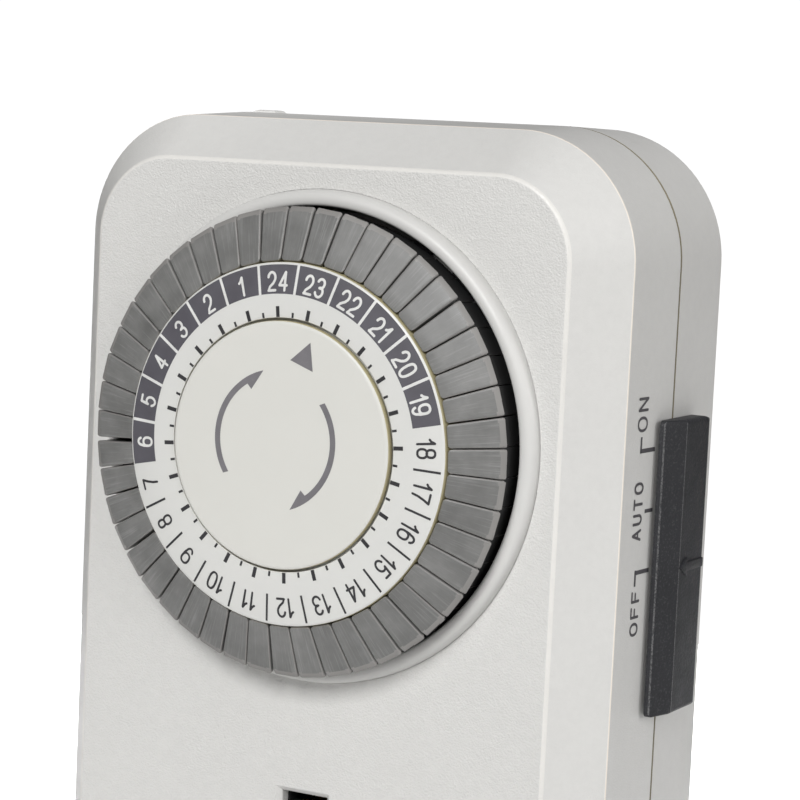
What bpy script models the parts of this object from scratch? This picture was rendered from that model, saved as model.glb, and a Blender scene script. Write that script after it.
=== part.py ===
# Plug-in 24 hour mechanical timer: two-part housing, clockwise dial with push-in
# tappets, three-position override slider, motor and gear train, switch, front
# socket and rear plug.  Row frame: X right, Y back, Z up, origin at the centre of
# the flat bottom.  Lengths below are in millimetres; depth "y" is measured back
# from the flat front face, "x" and "z" from the dial's axis.
import math
import bpy
import bmesh
from mathutils import Matrix, Vector

MM = 0.001

# ---- driving dimensions (mm) -------------------------------------------------
HALF_W = 40.6          # half width at the parting line
TOP = 41.2             # top above the dial axis
BOTTOM = -83.0         # flat bottom below the dial axis
DEPTH = 34.8           # front flat to rear face
CORNER_R = 16.9        # corner radius at the parting line
CHAMFER_W = 5.7        # front chamfer, inset
CHAMFER_D = 6.9        # front chamfer, depth
DRAFT = 0.7            # side draft between chamfer edge and parting line
PART_Y = 19.7          # parting line
WALL = 2.2
EDGE_R = 2.0           # rounding of the chamfer's two edges

RING_R = 22.8          # number ring, outer
RING_IN_R = 15.9       # number ring, inner
DISC_R = 15.55         # fixed centre disc
TAP_R0 = 23.1          # tappets, inner radius
TAP_R1 = 29.66         # tappets, outer radius
TAP_GAP = 0.20         # gap between tappets
TAP_TRAVEL = 2.4
BEZEL_R0 = 29.9
BEZEL_R1 = 31.5
BEZEL_H = 2.1
HOURS = 24
HOUR0 = 11.85          # angle of the 24|1 boundary, counter-clockwise from up

KNOB_LEN = 37.7        # override slider
KNOB_Z = -13.6         # its centre in the OFF position
KNOB_TRAVEL = 15.4     # OFF to ON, AUTO half way

SOCKET_X = 0.5         # front socket: slots run along X
HOT_Z = -46.9
NEUTRAL_Z = HOT_Z - 12.7
GROUND_X = SOCKET_X + 11.9
GROUND_Z = 0.5 * (HOT_Z + NEUTRAL_Z)
BLADE_X = 6.35         # rear plug: blades run along Z
BLADE_Z = -47.0
PIN_Z = BLADE_Z - 11.9
BLADE_OUT = 17.5
PIN_OUT = 21.0

GEAR_M1, WHEEL_T, PINION_T = 0.8, 60, 10
GEAR_M2, GEAR_T, MOTOR_T = 0.6, 40, 8
GEAR_DIR = math.radians(225.0)     # from the dial axis to the reduction gear
DIST1 = GEAR_M1 * (WHEEL_T + PINION_T) / 2
DIST2 = GEAR_M2 * (GEAR_T + MOTOR_T) / 2
GEAR_X, GEAR_Z = DIST1 * math.cos(GEAR_DIR), DIST1 * math.sin(GEAR_DIR)
MOTOR_DIR = math.radians(45.0)     # from the reduction gear to the motor
MOTOR_X = GEAR_X + DIST2 * math.cos(MOTOR_DIR)
MOTOR_Z = GEAR_Z + DIST2 * math.sin(MOTOR_DIR)

LEVER_X, LEVER_Z = 28.0, -30.0

for obj in list(bpy.data.objects):
    bpy.data.objects.remove(obj, do_unlink=True)


def row(x, y, z):
    """Dial-frame millimetres to row-frame metres."""
    return Vector((x * MM, (y - DEPTH / 2) * MM, (z - BOTTOM) * MM))


# ---- materials ---------------------------------------------------------------
def material(name, colour, rough, metal=0.0):
    mat = bpy.data.materials.new(name)
    mat.use_nodes = True
    bsdf = mat.node_tree.nodes["Principled BSDF"]
    bsdf.inputs["Base Color"].default_value = (*colour, 1.0)
    bsdf.inputs["Roughness"].default_value = rough
    bsdf.inputs["Metallic"].default_value = metal
    mat.diffuse_color = (*colour, 1.0)
    return mat


SHELL = (0.68, 0.675, 0.65)
PAL = {
    "shell": (SHELL, 0.55, 0.0),
    "ring": ((0.80, 0.80, 0.78), 0.45, 0.0),
    "tappet": ((0.22, 0.22, 0.215), 0.5, 0.0),
    "dark": ((0.045, 0.045, 0.05), 0.5, 0.0),
    "steel": ((0.60, 0.60, 0.60), 0.35, 1.0),
    "brass": ((0.72, 0.55, 0.25), 0.35, 1.0),
    "copper": ((0.75, 0.38, 0.22), 0.4, 1.0),
    "nylon": ((0.78, 0.77, 0.70), 0.5, 0.0),
    "insul": ((0.10, 0.10, 0.11), 0.6, 0.0),
    "nickel": ((0.68, 0.67, 0.63), 0.3, 1.0),
    "silver": ((0.80, 0.80, 0.78), 0.3, 1.0),
    "wire_black": ((0.03, 0.03, 0.03), 0.5, 0.0),
    "wire_white": ((0.75, 0.75, 0.73), 0.5, 0.0),
}


# ---- mesh builders -------------------------------------------------------------
def new_obj(name, verts, faces):
    me = bpy.data.meshes.new(name)
    me.from_pydata([tuple(v) for v in verts], [], faces)
    me.validate()
    bm = bmesh.new()
    bm.from_mesh(me)
    bmesh.ops.recalc_face_normals(bm, faces=bm.faces)
    bm.to_mesh(me)
    bm.free()
    obj = bpy.data.objects.new(name, me)
    bpy.context.scene.collection.objects.link(obj)
    return obj


def skin(name, loops):
    """Closed solid through loops of equal count, capped at both ends."""
    n = len(loops[0])
    verts = [row(*p) for lp in loops for p in lp]
    faces = [list(range(n))[::-1], [(len(loops) - 1) * n + i for i in range(n)]]
    for k in range(len(loops) - 1):
        for i in range(n):
            j = (i + 1) % n
            faces.append([k * n + i, k * n + j, (k + 1) * n + j, (k + 1) * n + i])
    return new_obj(name, verts, faces)


def prism_y(name, poly, y0, y1):
    return skin(name, [[(x, y0, z) for x, z in poly], [(x, y1, z) for x, z in poly]])


def prism_x(name, poly, x0, x1):
    """poly in (y, z)."""
    return skin(name, [[(x0, y, z) for y, z in poly], [(x1, y, z) for y, z in poly]])


def prism_z(name, poly, z0, z1):
    """poly in (x, y)."""
    return skin(name, [[(x, y, z0) for x, y in poly], [(x, y, z1) for x, y in poly]])


def box(name, x0, x1, y0, y1, z0, z1):
    return prism_y(name, [(x0, z0), (x1, z0), (x1, z1), (x0, z1)], y0, y1)


def circle(cx, cz, r, n, ph=0.0):
    return [(cx + r * math.cos(2 * math.pi * i / n + ph), cz + r * math.sin(2 * math.pi * i / n + ph)) for i in range(n)]


def stack(name, cx, cz, prof, n, ph=0.0):
    """Solid of revolution about Y from (radius, y) pairs, capped at both ends."""
    return skin(name, [[(x, y, z) for x, z in circle(cx, cz, r, n, ph)] for r, y in prof])


def revolve(name, cx, cz, prof, n, ph=0.0):
    """Ring-shaped solid about Y from a closed (radius, y) outline."""
    m = len(prof)
    verts = []
    for i in range(n):
        a = 2 * math.pi * i / n + ph
        verts += [row(cx + r * math.cos(a), y, cz + r * math.sin(a)) for r, y in prof]
    faces = []
    for i in range(n):
        j = (i + 1) % n
        for k in range(m):
            q = (k + 1) % m
            faces.append([i * m + k, i * m + q, j * m + q, j * m + k])
    return new_obj(name, verts, faces)


def boolean(a, b, op="DIFFERENCE"):
    mod = a.modifiers.new("b", "BOOLEAN")
    mod.object = b
    mod.operation = op
    mod.solver = "EXACT"
    bpy.context.view_layer.update()
    dg = bpy.context.evaluated_depsgraph_get()
    me = bpy.data.meshes.new_from_object(a.evaluated_get(dg))
    a.modifiers.clear()
    a.data = me
    bpy.data.objects.remove(b, do_unlink=True)
    return a


def join(name, objs):
    """Disjoint solids as one cutter mesh."""
    bm = bmesh.new()
    for o in objs:
        bm.from_mesh(o.data)
        bpy.data.objects.remove(o, do_unlink=True)
    me = bpy.data.meshes.new(name)
    bm.to_mesh(me)
    bm.free()
    out = bpy.data.objects.new(name, me)
    bpy.context.scene.collection.objects.link(out)
    return out


NODES = []


def done(obj, name, pal, at=None, smooth=None):
    """Names a finished piece, moves its origin to `at` (dial-frame mm) and gives it its material."""
    obj.name = name
    obj.data.name = name
    bm = bmesh.new()
    bm.from_mesh(obj.data)
    bmesh.ops.remove_doubles(bm, verts=bm.verts, dist=1e-7)
    bmesh.ops.dissolve_degenerate(bm, edges=bm.edges, dist=1e-7)
    bmesh.ops.recalc_face_normals(bm, faces=bm.faces)
    bm.to_mesh(obj.data)
    bm.free()
    if at is not None:
        o = row(*at)
        obj.data.transform(Matrix.Translation(-o))
        obj.location = o
    obj.data.materials.clear()
    obj.data.materials.append(material(name, *PAL[pal]))
    if smooth:
        obj.data.shade_smooth()
        obj.data.set_sharp_from_angle(angle=math.radians(smooth))
    NODES.append(obj)
    return obj


# ---- outlines --------------------------------------------------------------------
def fillet(pts, radii, seg=3):
    """Rounds the inner points of an open polyline."""
    out = [pts[0]]
    for i in range(1, len(pts) - 1):
        p, r = Vector(pts[i]), radii[i]
        if not r:
            out.append(tuple(p))
            continue
        a = (Vector(pts[i - 1]) - p).normalized()
        b = (Vector(pts[i + 1]) - p).normalized()
        half = a.angle(b) / 2
        t = r / math.tan(half)
        c = p + (a + b).normalized() * (r / math.sin(half))
        s, e = p + a * t - c, p + b * t - c
        ang = s.angle_signed(e)
        for k in range(seg + 1):
            v = s.copy()
            th = -ang * k / seg
            v = Vector((s.x * math.cos(th) - s.y * math.sin(th), s.x * math.sin(th) + s.y * math.cos(th)))
            out.append(tuple(c + v))
    out.append(pts[-1])
    return out


def draft(y):
    if y <= CHAMFER_D:
        return DRAFT
    return DRAFT * max(0.0, (PART_Y - 0.15 - y)) / (PART_Y - 0.15 - CHAMFER_D)


def outline(s, y, n=7, low=None):
    """Rounded rectangle inset by s; the bottom has no draft so that it stays flat."""
    b = max(0.0, s - draft(y)) if low is None else low
    rt, rb = CORNER_R - s, CORNER_R - b
    pts = []
    for cx, cz, r, a0 in ((HALF_W - s - rt, TOP - s - rt, rt, 0), (-(HALF_W - s - rt), TOP - s - rt, rt, 90),
                          (-(HALF_W - s - rb), BOTTOM + b + rb, rb, 180), (HALF_W - s - rb, BOTTOM + b + rb, rb, 270)):
        for k in range(n + 1):
            a = math.radians(a0 + 90 * k / n)
            pts.append((cx + r * math.cos(a), y, cz + r * math.sin(a)))
    return pts


# ---- housing ----------------------------------------------------------------------
SCREWS = {"ul": (-29.5, 30.0), "ur": (29.5, 30.0), "ll": (-30.0, -72.0), "lr": (30.0, -72.0)}

prof = fillet([(14.0, 0.0), (CHAMFER_W + DRAFT, 0.0), (DRAFT, CHAMFER_D), (0.0, PART_Y - 0.15)], [0, EDGE_R, EDGE_R, 0])
loops = [outline(s, y) for s, y in prof[1:]]
loops += [outline(1.0, PART_Y - 0.15, low=1.0), outline(1.05, 17.9, low=1.0), outline(2.29, 17.9, low=WALL),
          outline(2.9, 7.69, low=WALL), outline(7.44, 2.2, low=6.74)]
front = skin("front_cover", loops)

# bezel ring and collar around the dial
boolean(front, stack("c", 0, 0, [(30.7, -4.0), (30.7, 5.0)], 72))
bez = [(BEZEL_R0, 7.0), (BEZEL_R0, -1.75), (30.12, -2.02), (30.45, -BEZEL_H), (30.95, -1.85), (31.35, -1.1),
       (BEZEL_R1, 0.5), (31.1, 7.0)]
boolean(front, revolve("b", 0, 0, bez, 72), "UNION")
# screw bosses and chassis pegs
for key, (sx, sz) in SCREWS.items():
    boolean(front, stack("b", sx, sz, [(4.2, 1.3), (4.2, 15.7)], 16), "UNION")
for sx in (-27.0, 27.0):
    boolean(front, stack("b", sx, -33.5, [(3.0, 1.3), (3.0, 11.9), (1.4, 11.9), (1.4, 13.6)], 12), "UNION")
boolean(front, join("c", [stack("c", sx, sz, [(1.7, 7.0), (1.7, 20.0)], 12) for sx, sz in SCREWS.values()]))


def bevelled_cut(cx, cz, hw, hh, bev):
    rect = lambda a, b, y: [(cx - a, y, cz - b), (cx + a, y, cz - b), (cx + a, y, cz + b), (cx - a, y, cz + b)]
    return skin("c", [rect(hw + bev + 0.65, hh + bev + 0.65, -0.65), rect(hw, hh, bev), rect(hw, hh, 4.0)])


def ground_outline(hw, flat, y, n=10):
    """U shape: flat side towards the slots, round away from them."""
    pts = [(GROUND_X - flat, y, GROUND_Z + hw), (GROUND_X - flat, y, GROUND_Z - hw)]
    for k in range(n + 1):
        a = math.radians(-90 + 180 * k / n)
        pts.append((GROUND_X + hw * math.cos(a), y, GROUND_Z + hw * math.sin(a)))
    return pts


cut = [bevelled_cut(SOCKET_X, HOT_Z, 3.35, 1.1, 0.65), bevelled_cut(SOCKET_X, NEUTRAL_Z, 4.1, 1.1, 0.65),
       skin("c", [ground_outline(4.0, 3.7, -0.65), ground_outline(2.7, 2.4, 0.65), ground_outline(2.7, 2.4, 4.0)])]
boolean(front, join("c", cut))
# half of the slider's slot
boolean(front, box("c", 36.0, 44.0, 17.2, 30.0, -16.4, 4.6))
done(front, "front_cover", "shell", (0, 0, 0), 32)

loops = [outline(2.4, 18.2, low=2.4), outline(1.25, 18.2, low=1.25), outline(1.25, PART_Y + 0.15, low=1.25),
         outline(0.0, PART_Y + 0.15)]
loops += [outline(s, y) for s, y in fillet([(0.0, PART_Y + 0.15), (0.135, DEPTH), (6.0, DEPTH)], [0, 1.5, 0])[1:-1]]
outer = loops
# inner surface runs back from the tongue and closes on the rear wall
inner = [outline(2.4, 18.2, low=2.4), outline(2.5, DEPTH - WALL, low=2.5)]
rear = skin("rear_cover", [inner[1]] + outer)
for key, (sx, sz) in SCREWS.items():
    boolean(rear, stack("b", sx, sz, [(4.2, 16.0), (4.2, 33.5)], 16), "UNION")
boolean(rear, join("c", [stack("c", sx, sz, [(1.75, 14.0), (1.75, 31.2), (3.1, 31.2), (3.1, 37.0)], 12) for sx, sz in SCREWS.values()]))
# plug openings, vents, slider slot
cut = [box("c", sx * BLADE_X - 1.05, sx * BLADE_X + 1.05, 30.0, 37.0, BLADE_Z - 3.5, BLADE_Z + 3.5) for sx in (-1, 1)]
cut.append(stack("c", 0, PIN_Z, [(2.7, 30.0), (2.7, 37.0)], 16))
cut += [box("c", -9.0 + 0.0, 9.0, 30.0, 37.0, z, z + 1.5) for z in (16.0, 20.0, 24.0, 28.0)]
boolean(rear, join("c", cut))
boolean(rear, box("c", 36.0, 44.0, 15.0, 22.8, -16.4, 4.6))
# raised ring-shaped pad around the plug and a moulded latch pad on top
pad = prism_y("b", [(-15, -66), (15, -66), (17, -64), (17, -41), (15, -39), (-15, -39), (-17, -41), (-17, -64)], 34.0, 35.4)
boolean(pad, prism_y("c", [(-12.5, -63.5), (12.5, -63.5), (12.5, -41.5), (-12.5, -41.5)], 33.0, 37.0))
boolean(rear, pad, "UNION")
boolean(rear, skin("b", [[(-26.2, 20.3, 38.0), (-26.2, 23.3, 38.0), (-20.4, 23.3, 38.0), (-20.4, 20.3, 38.0)],
                         [(-26.2, 20.3, 41.5), (-26.2, 23.3, 41.5), (-20.4, 23.3, 41.5), (-20.4, 20.3, 41.5)],
                         [(-25.8, 20.6, 41.85), (-25.8, 23.0, 41.85), (-20.8, 23.0, 41.85), (-20.8, 20.6, 41.85)]]), "UNION")
done(rear, "rear_cover", "shell", (0, DEPTH, 0), 32)

for key, (sx, sz) in SCREWS.items():
    s = stack("s", sx, sz, [(1.1, 7.6), (1.4, 8.4), (1.4, 31.5), (2.7, 31.5), (2.7, 33.0), (2.2, 33.6)], 12)
    boolean(s, box("c", sx - 2.0, sx + 2.0, 32.8, 36.0, sz - 0.35, sz + 0.35))
    done(s, "housing_screw_" + key, "steel", (sx, 33.0, sz), 40)


# ---- gears --------------------------------------------------------------------------
def gear_outline(cx, cz, m, t, phase, add, ded, slack, fine):
    """Involute outline; the tooth centred on `phase` points along that direction."""
    rp, pa = m * t / 2, math.radians(20)
    rb, ra, rf = rp * math.cos(pa), rp + add, rp - ded
    inv = lambda a: math.tan(a) - a
    half = math.pi / (2 * t) - slack / (2 * rp)

    def h(r):
        return half + inv(pa) - inv(math.acos(min(1.0, rb / max(r, rb))))
    radii = [(rf, max(rf, rb)), (ra, ra)] if not fine else [(rf, max(rf, rb)), (rp, rp), (ra, ra)]
    pts = []
    for k in range(t):
        c = phase + 2 * math.pi * k / t
        for r, rr in radii:
            pts.append((r, c - h(rr)))
        for r, rr in reversed(radii):
            pts.append((r, c + h(rr)))
    return [(cx + r * math.cos(a), cz + r * math.sin(a)) for r, a in pts]


# ---- dial ------------------------------------------------------------------------------
def polar(r, deg):
    """Counter-clockwise from up, as seen from the front."""
    a = math.radians(deg)
    return (-r * math.sin(a), r * math.cos(a))


wheel = [(3.05, -5.8), (5.5, -5.8), (5.5, -4.2), (13.0, -4.2), (13.0, -7.3), (RING_IN_R, -7.3), (RING_IN_R, -8.22), (18.87, -8.3),
         (22.55, -7.75), (RING_R, -7.5), (RING_R, 4.4), (29.0, 4.4), (29.0, 5.9), (23.2, 5.9), (23.2, 11.4), (21.3, 11.4),
         (21.3, -2.4), (5.5, -2.4), (5.5, 10.0), (3.05, 10.0)]
dial = revolve("dial_wheel", 0, 0, wheel, 48)
rim = prism_y("g", gear_outline(0, 0, GEAR_M1, WHEEL_T, GEAR_DIR, 0.64, 1.0, 0.16, False), 9.2, 11.2)
boolean(rim, stack("c", 0, 0, [(22.0, 8.0), (22.0, 13.0)], 48))
boolean(dial, rim, "UNION")
slots = []
for k in range(HOURS):
    a = math.radians(HOUR0 + 15.0 * (k + 0.5))
    er, et = (-math.sin(a), math.cos(a)), (math.cos(a), math.sin(a))
    q = [(25.6, -1.8), (28.4, -1.8), (28.4, 1.8), (25.6, 1.8)]
    slots.append(prism_y("c", [(r * er[0] + t * et[0], r * er[1] + t * et[1]) for r, t in q], 3.0, 7.5))
boolean(dial, join("c", slots))
done(dial, "dial_wheel", "ring", (0, 0, 0), 32)

disc = stack("d", 0, 0, [(15.3, -7.6), (DISC_R, -7.75), (DISC_R, -8.55), (15.4, -8.75), (15.15, -8.81)], 48)
sleeve = revolve("b", 0, 0, [(2.3, -6.1), (4.5, -6.1), (4.5, -7.9), (2.3, -7.9)], 20)
boolean(disc, sleeve, "UNION")
done(disc, "centre_disc", "ring", (0, -8.0, 0), 40)

post = stack("p", 0, 0, [(2.0, -7.1), (2.0, -6.0), (3.0, -5.4), (3.0, 10.4), (8.0, 10.4), (8.0, 11.9)], 24)
done(post, "dial_post", "steel", (0, 11.9, 0), 40)

# tappets: two half-hour fingers share one leg, so each hour is one sliding piece
TAP = [(TAP_R0, -6.95), (23.4, -7.32), (28.95, -5.5), (TAP_R1, -4.93), (29.05, -2.2), (29.0, 1.0), (TAP_R0, 1.0)]


def finger(mid):
    a = math.radians(mid)
    er, et = (-math.sin(a), math.cos(a)), (math.cos(a), math.sin(a))
    tan, off = math.tan(math.radians(3.75)), TAP_GAP / 2 / math.cos(math.radians(3.75))
    ends = []
    for sgn in (-1, 1):
        lp = []
        for r, y in TAP:
            t = sgn * (r * tan - off)
            lp.append((r * er[0] + t * et[0], y, r * er[1] + t * et[1]))
        ends.append(lp)
    return skin("f", ends)


pair = finger(-3.75)
leg = skin("l", [[(x, y, z) for x, z in ((-1.55, 25.85), (1.55, 25.85), (1.55, 28.15), (-1.55, 28.15))] for y in (-1.0, 5.6)]
           + [[(x, 6.3, z) for x, z in ((-1.3, 26.1), (1.3, 26.1), (1.3, 27.9), (-1.3, 27.9))]])
boolean(pair, leg, "UNION")
boolean(pair, finger(3.75), "UNION")
done(pair, "tappets_h01", "tappet", (0, 0, 0))
NODES.pop()
base_mesh = pair.data
bpy.data.objects.remove(pair, do_unlink=True)
for k in range(HOURS):
    name = "tappets_h%02d" % (k + 1)
    mid = HOUR0 + 15.0 * (k + 0.5)
    me = base_mesh.copy()
    me.name = name
    # centre the piece on its own origin, then place it by location and rotation
    me.transform(Matrix.Translation(Vector((0, 0, -26.4 * MM))))
    obj = bpy.data.objects.new(name, me)
    bpy.context.scene.collection.objects.link(obj)
    x, z = polar(26.4, mid)
    obj.location = row(x, 0, z)
    obj.rotation_euler = (0, -math.radians(mid), 0)
    me.materials.clear()
    me.materials.append(material(name, *PAL["tappet"]))
    NODES.append(obj)

# ---- override slider -----------------------------------------------------------------------
zc = KNOB_Z
KNOB = [(40.95, 14.9), (41.45, 14.9), (41.95, 15.45), (42.95, 17.0), (43.2, 17.7), (43.25, 18.4), (43.2, 25.1), (42.9, 25.5), (40.95, 25.5)]
shrink = lambda d: [(x if x < 41.0 else max(41.0, x - d), min(max(y, 14.9 + d), 25.5 - d)) for x, y in KNOB]
h = KNOB_LEN / 2
knob = skin("k", [[(x, y, zc - h) for x, y in shrink(0.7)], [(x, y, zc - h + 0.25) for x, y in shrink(0.2)], [(x, y, zc - h + 0.9) for x, y in KNOB],
                  [(x, y, zc + h - 0.9) for x, y in KNOB], [(x, y, zc + h - 0.25) for x, y in shrink(0.2)], [(x, y, zc + h) for x, y in shrink(0.7)]])
boolean(knob, box("b", 38.3, 41.5, 18.1, 21.9, zc - 2.5, zc + 2.5), "UNION")
arrow = [(17.7, zc), (20.3, zc + 1.7), (20.3, zc + 0.75), (24.9, zc + 0.75), (24.9, zc - 0.75), (20.3, zc - 0.75), (20.3, zc - 1.7)]
boolean(knob, prism_x("b", arrow, 42.6, 43.5), "UNION")
done(knob, "override_knob", "dark", (40.6, 20.0, zc))

# cam ramp faces the lever; it recedes as the slider moves up
RAMP0, RAMP1 = 34.85, 34.85 + 1.08
car = prism_y("k", [(38.0, zc - 17.4), (38.0, zc + 11.0), (36.6, zc + 11.0), (36.6, zc - 17.4)], 16.0, 24.0)
boolean(car, prism_y("b", [(RAMP0 + 1.08 * (KNOB_Z - 17.0 + 14.5) / -15.4, zc - 17.0), (37.2, zc - 17.0), (37.2, zc + 0.6), (RAMP0, zc + 0.6)], 21.0, 23.6), "UNION")
for dz in (0.0, -7.7, -15.4):
    boolean(car, prism_y("c", [(36.0, zc + 9.6 + dz), (37.1, zc + 8.8 + dz), (36.0, zc + 8.0 + dz)], 15.0, 19.0))
done(car, "override_carriage", "nylon", (37.3, 20.0, zc))

spring = prism_y("s", [(34.7, 10.0), (34.7, -3.2), (35.3, -4.0), (35.95, -4.8), (35.35, -5.6), (34.8, -6.6), (34.4, -6.5), (34.85, -5.3),
                       (35.3, -4.8), (34.85, -4.2), (34.2, -3.2), (34.2, 9.5), (31.6, 9.5), (31.6, 10.0)], 16.2, 18.6)
done(spring, "detent_spring", "steel", (34.4, 17.4, 8.0))

# ---- chassis and drive -------------------------------------------------------------------------
cor = [(31.0, -37.0), (31.0, 32.5), (-31.0, 32.5), (-31.0, -37.0)]
chassis = prism_y("c", cor, 12.2, 13.7)
cut = [stack("c", x, z, [(4.6, 10.0), (4.6, 16.0)], 16) for x, z in (SCREWS["ul"], SCREWS["ur"])]
cut += [stack("c", x, -33.5, [(1.7, 10.0), (1.7, 16.0)], 12) for x in (-27.0, 27.0)]
cut += [stack("c", GEAR_X, GEAR_Z, [(5.3, 10.0), (5.3, 16.0)], 20), ]
boolean(chassis, join("c", cut))
# two towers carry the motor plate, a lug carries the detent spring
for x, z in ((12.5, -24.0), (-29.3, 4.0)):
    boolean(chassis, stack("b", x, z, [(2.2, 13.0), (2.2, 16.0), (1.0, 16.0), (1.0, 18.2)], 12), "UNION")
boolean(chassis, box("b", 28.5, 30.9, 13.0, 19.0, 6.0, 14.0), "UNION")
done(chassis, "chassis_plate", "nylon", (0, 13.0, 0), 40)

red = prism_y("g", gear_outline(GEAR_X, GEAR_Z, GEAR_M1, PINION_T, GEAR_DIR + math.pi + math.pi / PINION_T, 0.64, 0.9, 0.16, True), 9.0, 14.4)
big = prism_y("g", gear_outline(GEAR_X, GEAR_Z, GEAR_M2, GEAR_T, MOTOR_DIR, 0.48, 0.75, 0.12, False), 14.1, 16.0)
boolean(red, big, "UNION")
boolean(red, stack("c", GEAR_X, GEAR_Z, [(0.85, 6.0), (0.85, 20.0)], 16))
done(red, "reduction_gear", "nylon", (GEAR_X, 14.0, GEAR_Z))
axle = stack("a", GEAR_X, GEAR_Z, [(0.6, 8.5), (0.8, 8.7), (0.8, 17.9)], 16)
done(axle, "reduction_axle", "steel", (GEAR_X, 14.0, GEAR_Z), 50)

plate = stack("p", MOTOR_X, MOTOR_Z, [(18.5, 16.4), (18.5, 17.2)], 28)
boolean(plate, stack("b", GEAR_X, GEAR_Z, [(5.0, 16.4), (5.0, 17.2)], 20), "UNION")
for x, z in ((12.5, -24.0), (-29.3, 4.0)):
    d = Vector((MOTOR_X - x, MOTOR_Z - z)).normalized()
    nrm = (-d.y, d.x)
    arm = [(x + nrm[0] * 3 - d.x * 0.0, z + nrm[1] * 3), (x - nrm[0] * 3, z - nrm[1] * 3), (x - nrm[0] * 3 + d.x * 12, z - nrm[1] * 3 + d.y * 12), (x + nrm[0] * 3 + d.x * 12, z + nrm[1] * 3 + d.y * 12)]
    boolean(plate, prism_y("b", arm, 16.4, 17.2), "UNION")
    boolean(plate, stack("b", x, z, [(3.0, 16.4), (3.0, 17.2)], 16), "UNION")
cut = [stack("c", x, z, [(1.3, 15.0), (1.3, 19.0)], 12) for x, z in ((12.5, -24.0), (-29.3, 4.0))]
cut += [stack("c", GEAR_X, GEAR_Z, [(1.1, 15.0), (1.1, 19.0)], 12), stack("c", MOTOR_X, MOTOR_Z, [(1.05, 15.0), (1.05, 19.0)], 16)]
boolean(plate, join("c", cut))
done(plate, "motor_plate", "steel", (MOTOR_X, 17.0, MOTOR_Z), 40)

can = revolve("m", MOTOR_X, MOTOR_Z, [(16.2, 17.5), (17.0, 17.5), (17.0, 29.6), (16.4, 30.3), (1.05, 30.3), (1.05, 29.5), (16.2, 29.5)], 24)
done(can, "motor_can", "steel", (MOTOR_X, 24.0, MOTOR_Z), 40)
coil = revolve("m", MOTOR_X, MOTOR_Z, [(8.6, 18.4), (15.8, 18.4), (15.8, 27.6), (8.6, 27.6)], 20)
done(coil, "motor_coil", "copper", (MOTOR_X, 23.0, MOTOR_Z), 40)
phase = MOTOR_DIR + math.pi + math.pi / MOTOR_T
rot = prism_y("g", gear_outline(MOTOR_X, MOTOR_Z, GEAR_M2, MOTOR_T, phase, 0.48, 0.7, 0.12, True), 14.1, 16.1)
boolean(rot, stack("b", MOTOR_X, MOTOR_Z, [(1.0, 15.0), (1.0, 18.6), (7.6, 18.6), (7.6, 27.6), (1.0, 27.6), (1.0, 30.0)], 16), "UNION")
done(rot, "motor_rotor", "nickel", (MOTOR_X, 20.0, MOTOR_Z))

# ---- switch --------------------------------------------------------------------------------------
lev = prism_y("l", [(25.6, -29.0), (12.6, -33.6), (12.6, -35.3), (15.5, -35.3), (27.4, -32.4), (29.6, -31.8), (31.2, -28.6), (33.4, -16.0),
                    (34.5, -15.2), (34.5, -13.6), (33.6, -12.9), (31.2, -15.2), (29.2, -26.6), (27.0, -27.6)], 21.2, 23.4)
boolean(lev, stack("b", LEVER_X, LEVER_Z, [(2.6, 19.6), (2.6, 23.8)], 16), "UNION")
boolean(lev, stack("c", LEVER_X, LEVER_Z, [(1.05, 18.0), (1.05, 26.0)], 16))
done(lev, "switch_lever", "nylon", (LEVER_X, 22.3, LEVER_Z))
pin = stack("p", LEVER_X, LEVER_Z, [(2.4, 14.0), (2.4, 19.3), (1.0, 19.3), (1.0, 24.6)], 16)
done(pin, "lever_pin", "steel", (LEVER_X, 20.0, LEVER_Z), 40)

# moving contact strip rides on the lever's short arm; the fixed contact is above it
mov = prism_y("m", [(11.6, -33.0), (5.0, -33.6), (1.0, -33.6), (1.0, -34.1), (5.0, -34.1), (12.2, -33.55), (12.2, -36.2), (16.5, -36.2), (16.5, -35.6), (12.7 - 0.4, -35.6), (12.3, -33.0)], 21.4, 23.2)
button = lambda r, z0, z1: skin("r", [[(3.0 + r * math.cos(2 * math.pi * i / 12), 22.3 + 0.6 * r * math.sin(2 * math.pi * i / 12), z) for i in range(12)] for z in (z0, z1)])
boolean(mov, button(1.2, -33.8, -32.6), "UNION")
done(mov, "contact_arm", "brass", (LEVER_X, 22.3, LEVER_Z))

# ---- conductors -------------------------------------------------------------------------------------
# live bar: rear blade up to the fixed contact
bar = prism_y("b", [(4.6, -50.0), (8.1, -50.0), (8.1, -43.0), (4.8, -40.0), (4.8, -29.2), (1.2, -29.2), (1.2, -42.0), (4.6, -44.5)], 23.8, 24.6)
boolean(bar, box("b", 1.2, 4.8, 21.2, 24.2, -30.0, -29.2), "UNION")
boolean(bar, button(1.4, -30.6, -29.8), "UNION")
done(bar, "live_bar", "brass", (6.35, 22.3, -40.0))
hot = skin("b", [[(BLADE_X + a, y, BLADE_Z + c) for a, c in ((-0.75 * k, -3.17 * w), (0.75 * k, -3.17 * w), (0.75 * k, 3.17 * w), (-0.75 * k, 3.17 * w))]
                 for y, k, w in ((24.9, 1, 1), (DEPTH + BLADE_OUT - 2.0, 1, 1), (DEPTH + BLADE_OUT, 0.45, 0.72))])
done(hot, "plug_blade_live", "nickel", (BLADE_X, DEPTH, BLADE_Z))
neu = skin("b", [[(-BLADE_X + a, y, BLADE_Z + c) for a, c in ((-0.75 * k, -3.17 * w), (0.75 * k, -3.17 * w), (0.75 * k, 3.17 * w), (-0.75 * k, 3.17 * w))]
                 for y, k, w in ((19.6, 1, 1), (DEPTH + BLADE_OUT - 2.0, 1, 1), (DEPTH + BLADE_OUT, 0.45, 0.72))])
done(neu, "plug_blade_neutral", "nickel", (-BLADE_X, DEPTH, BLADE_Z))
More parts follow.
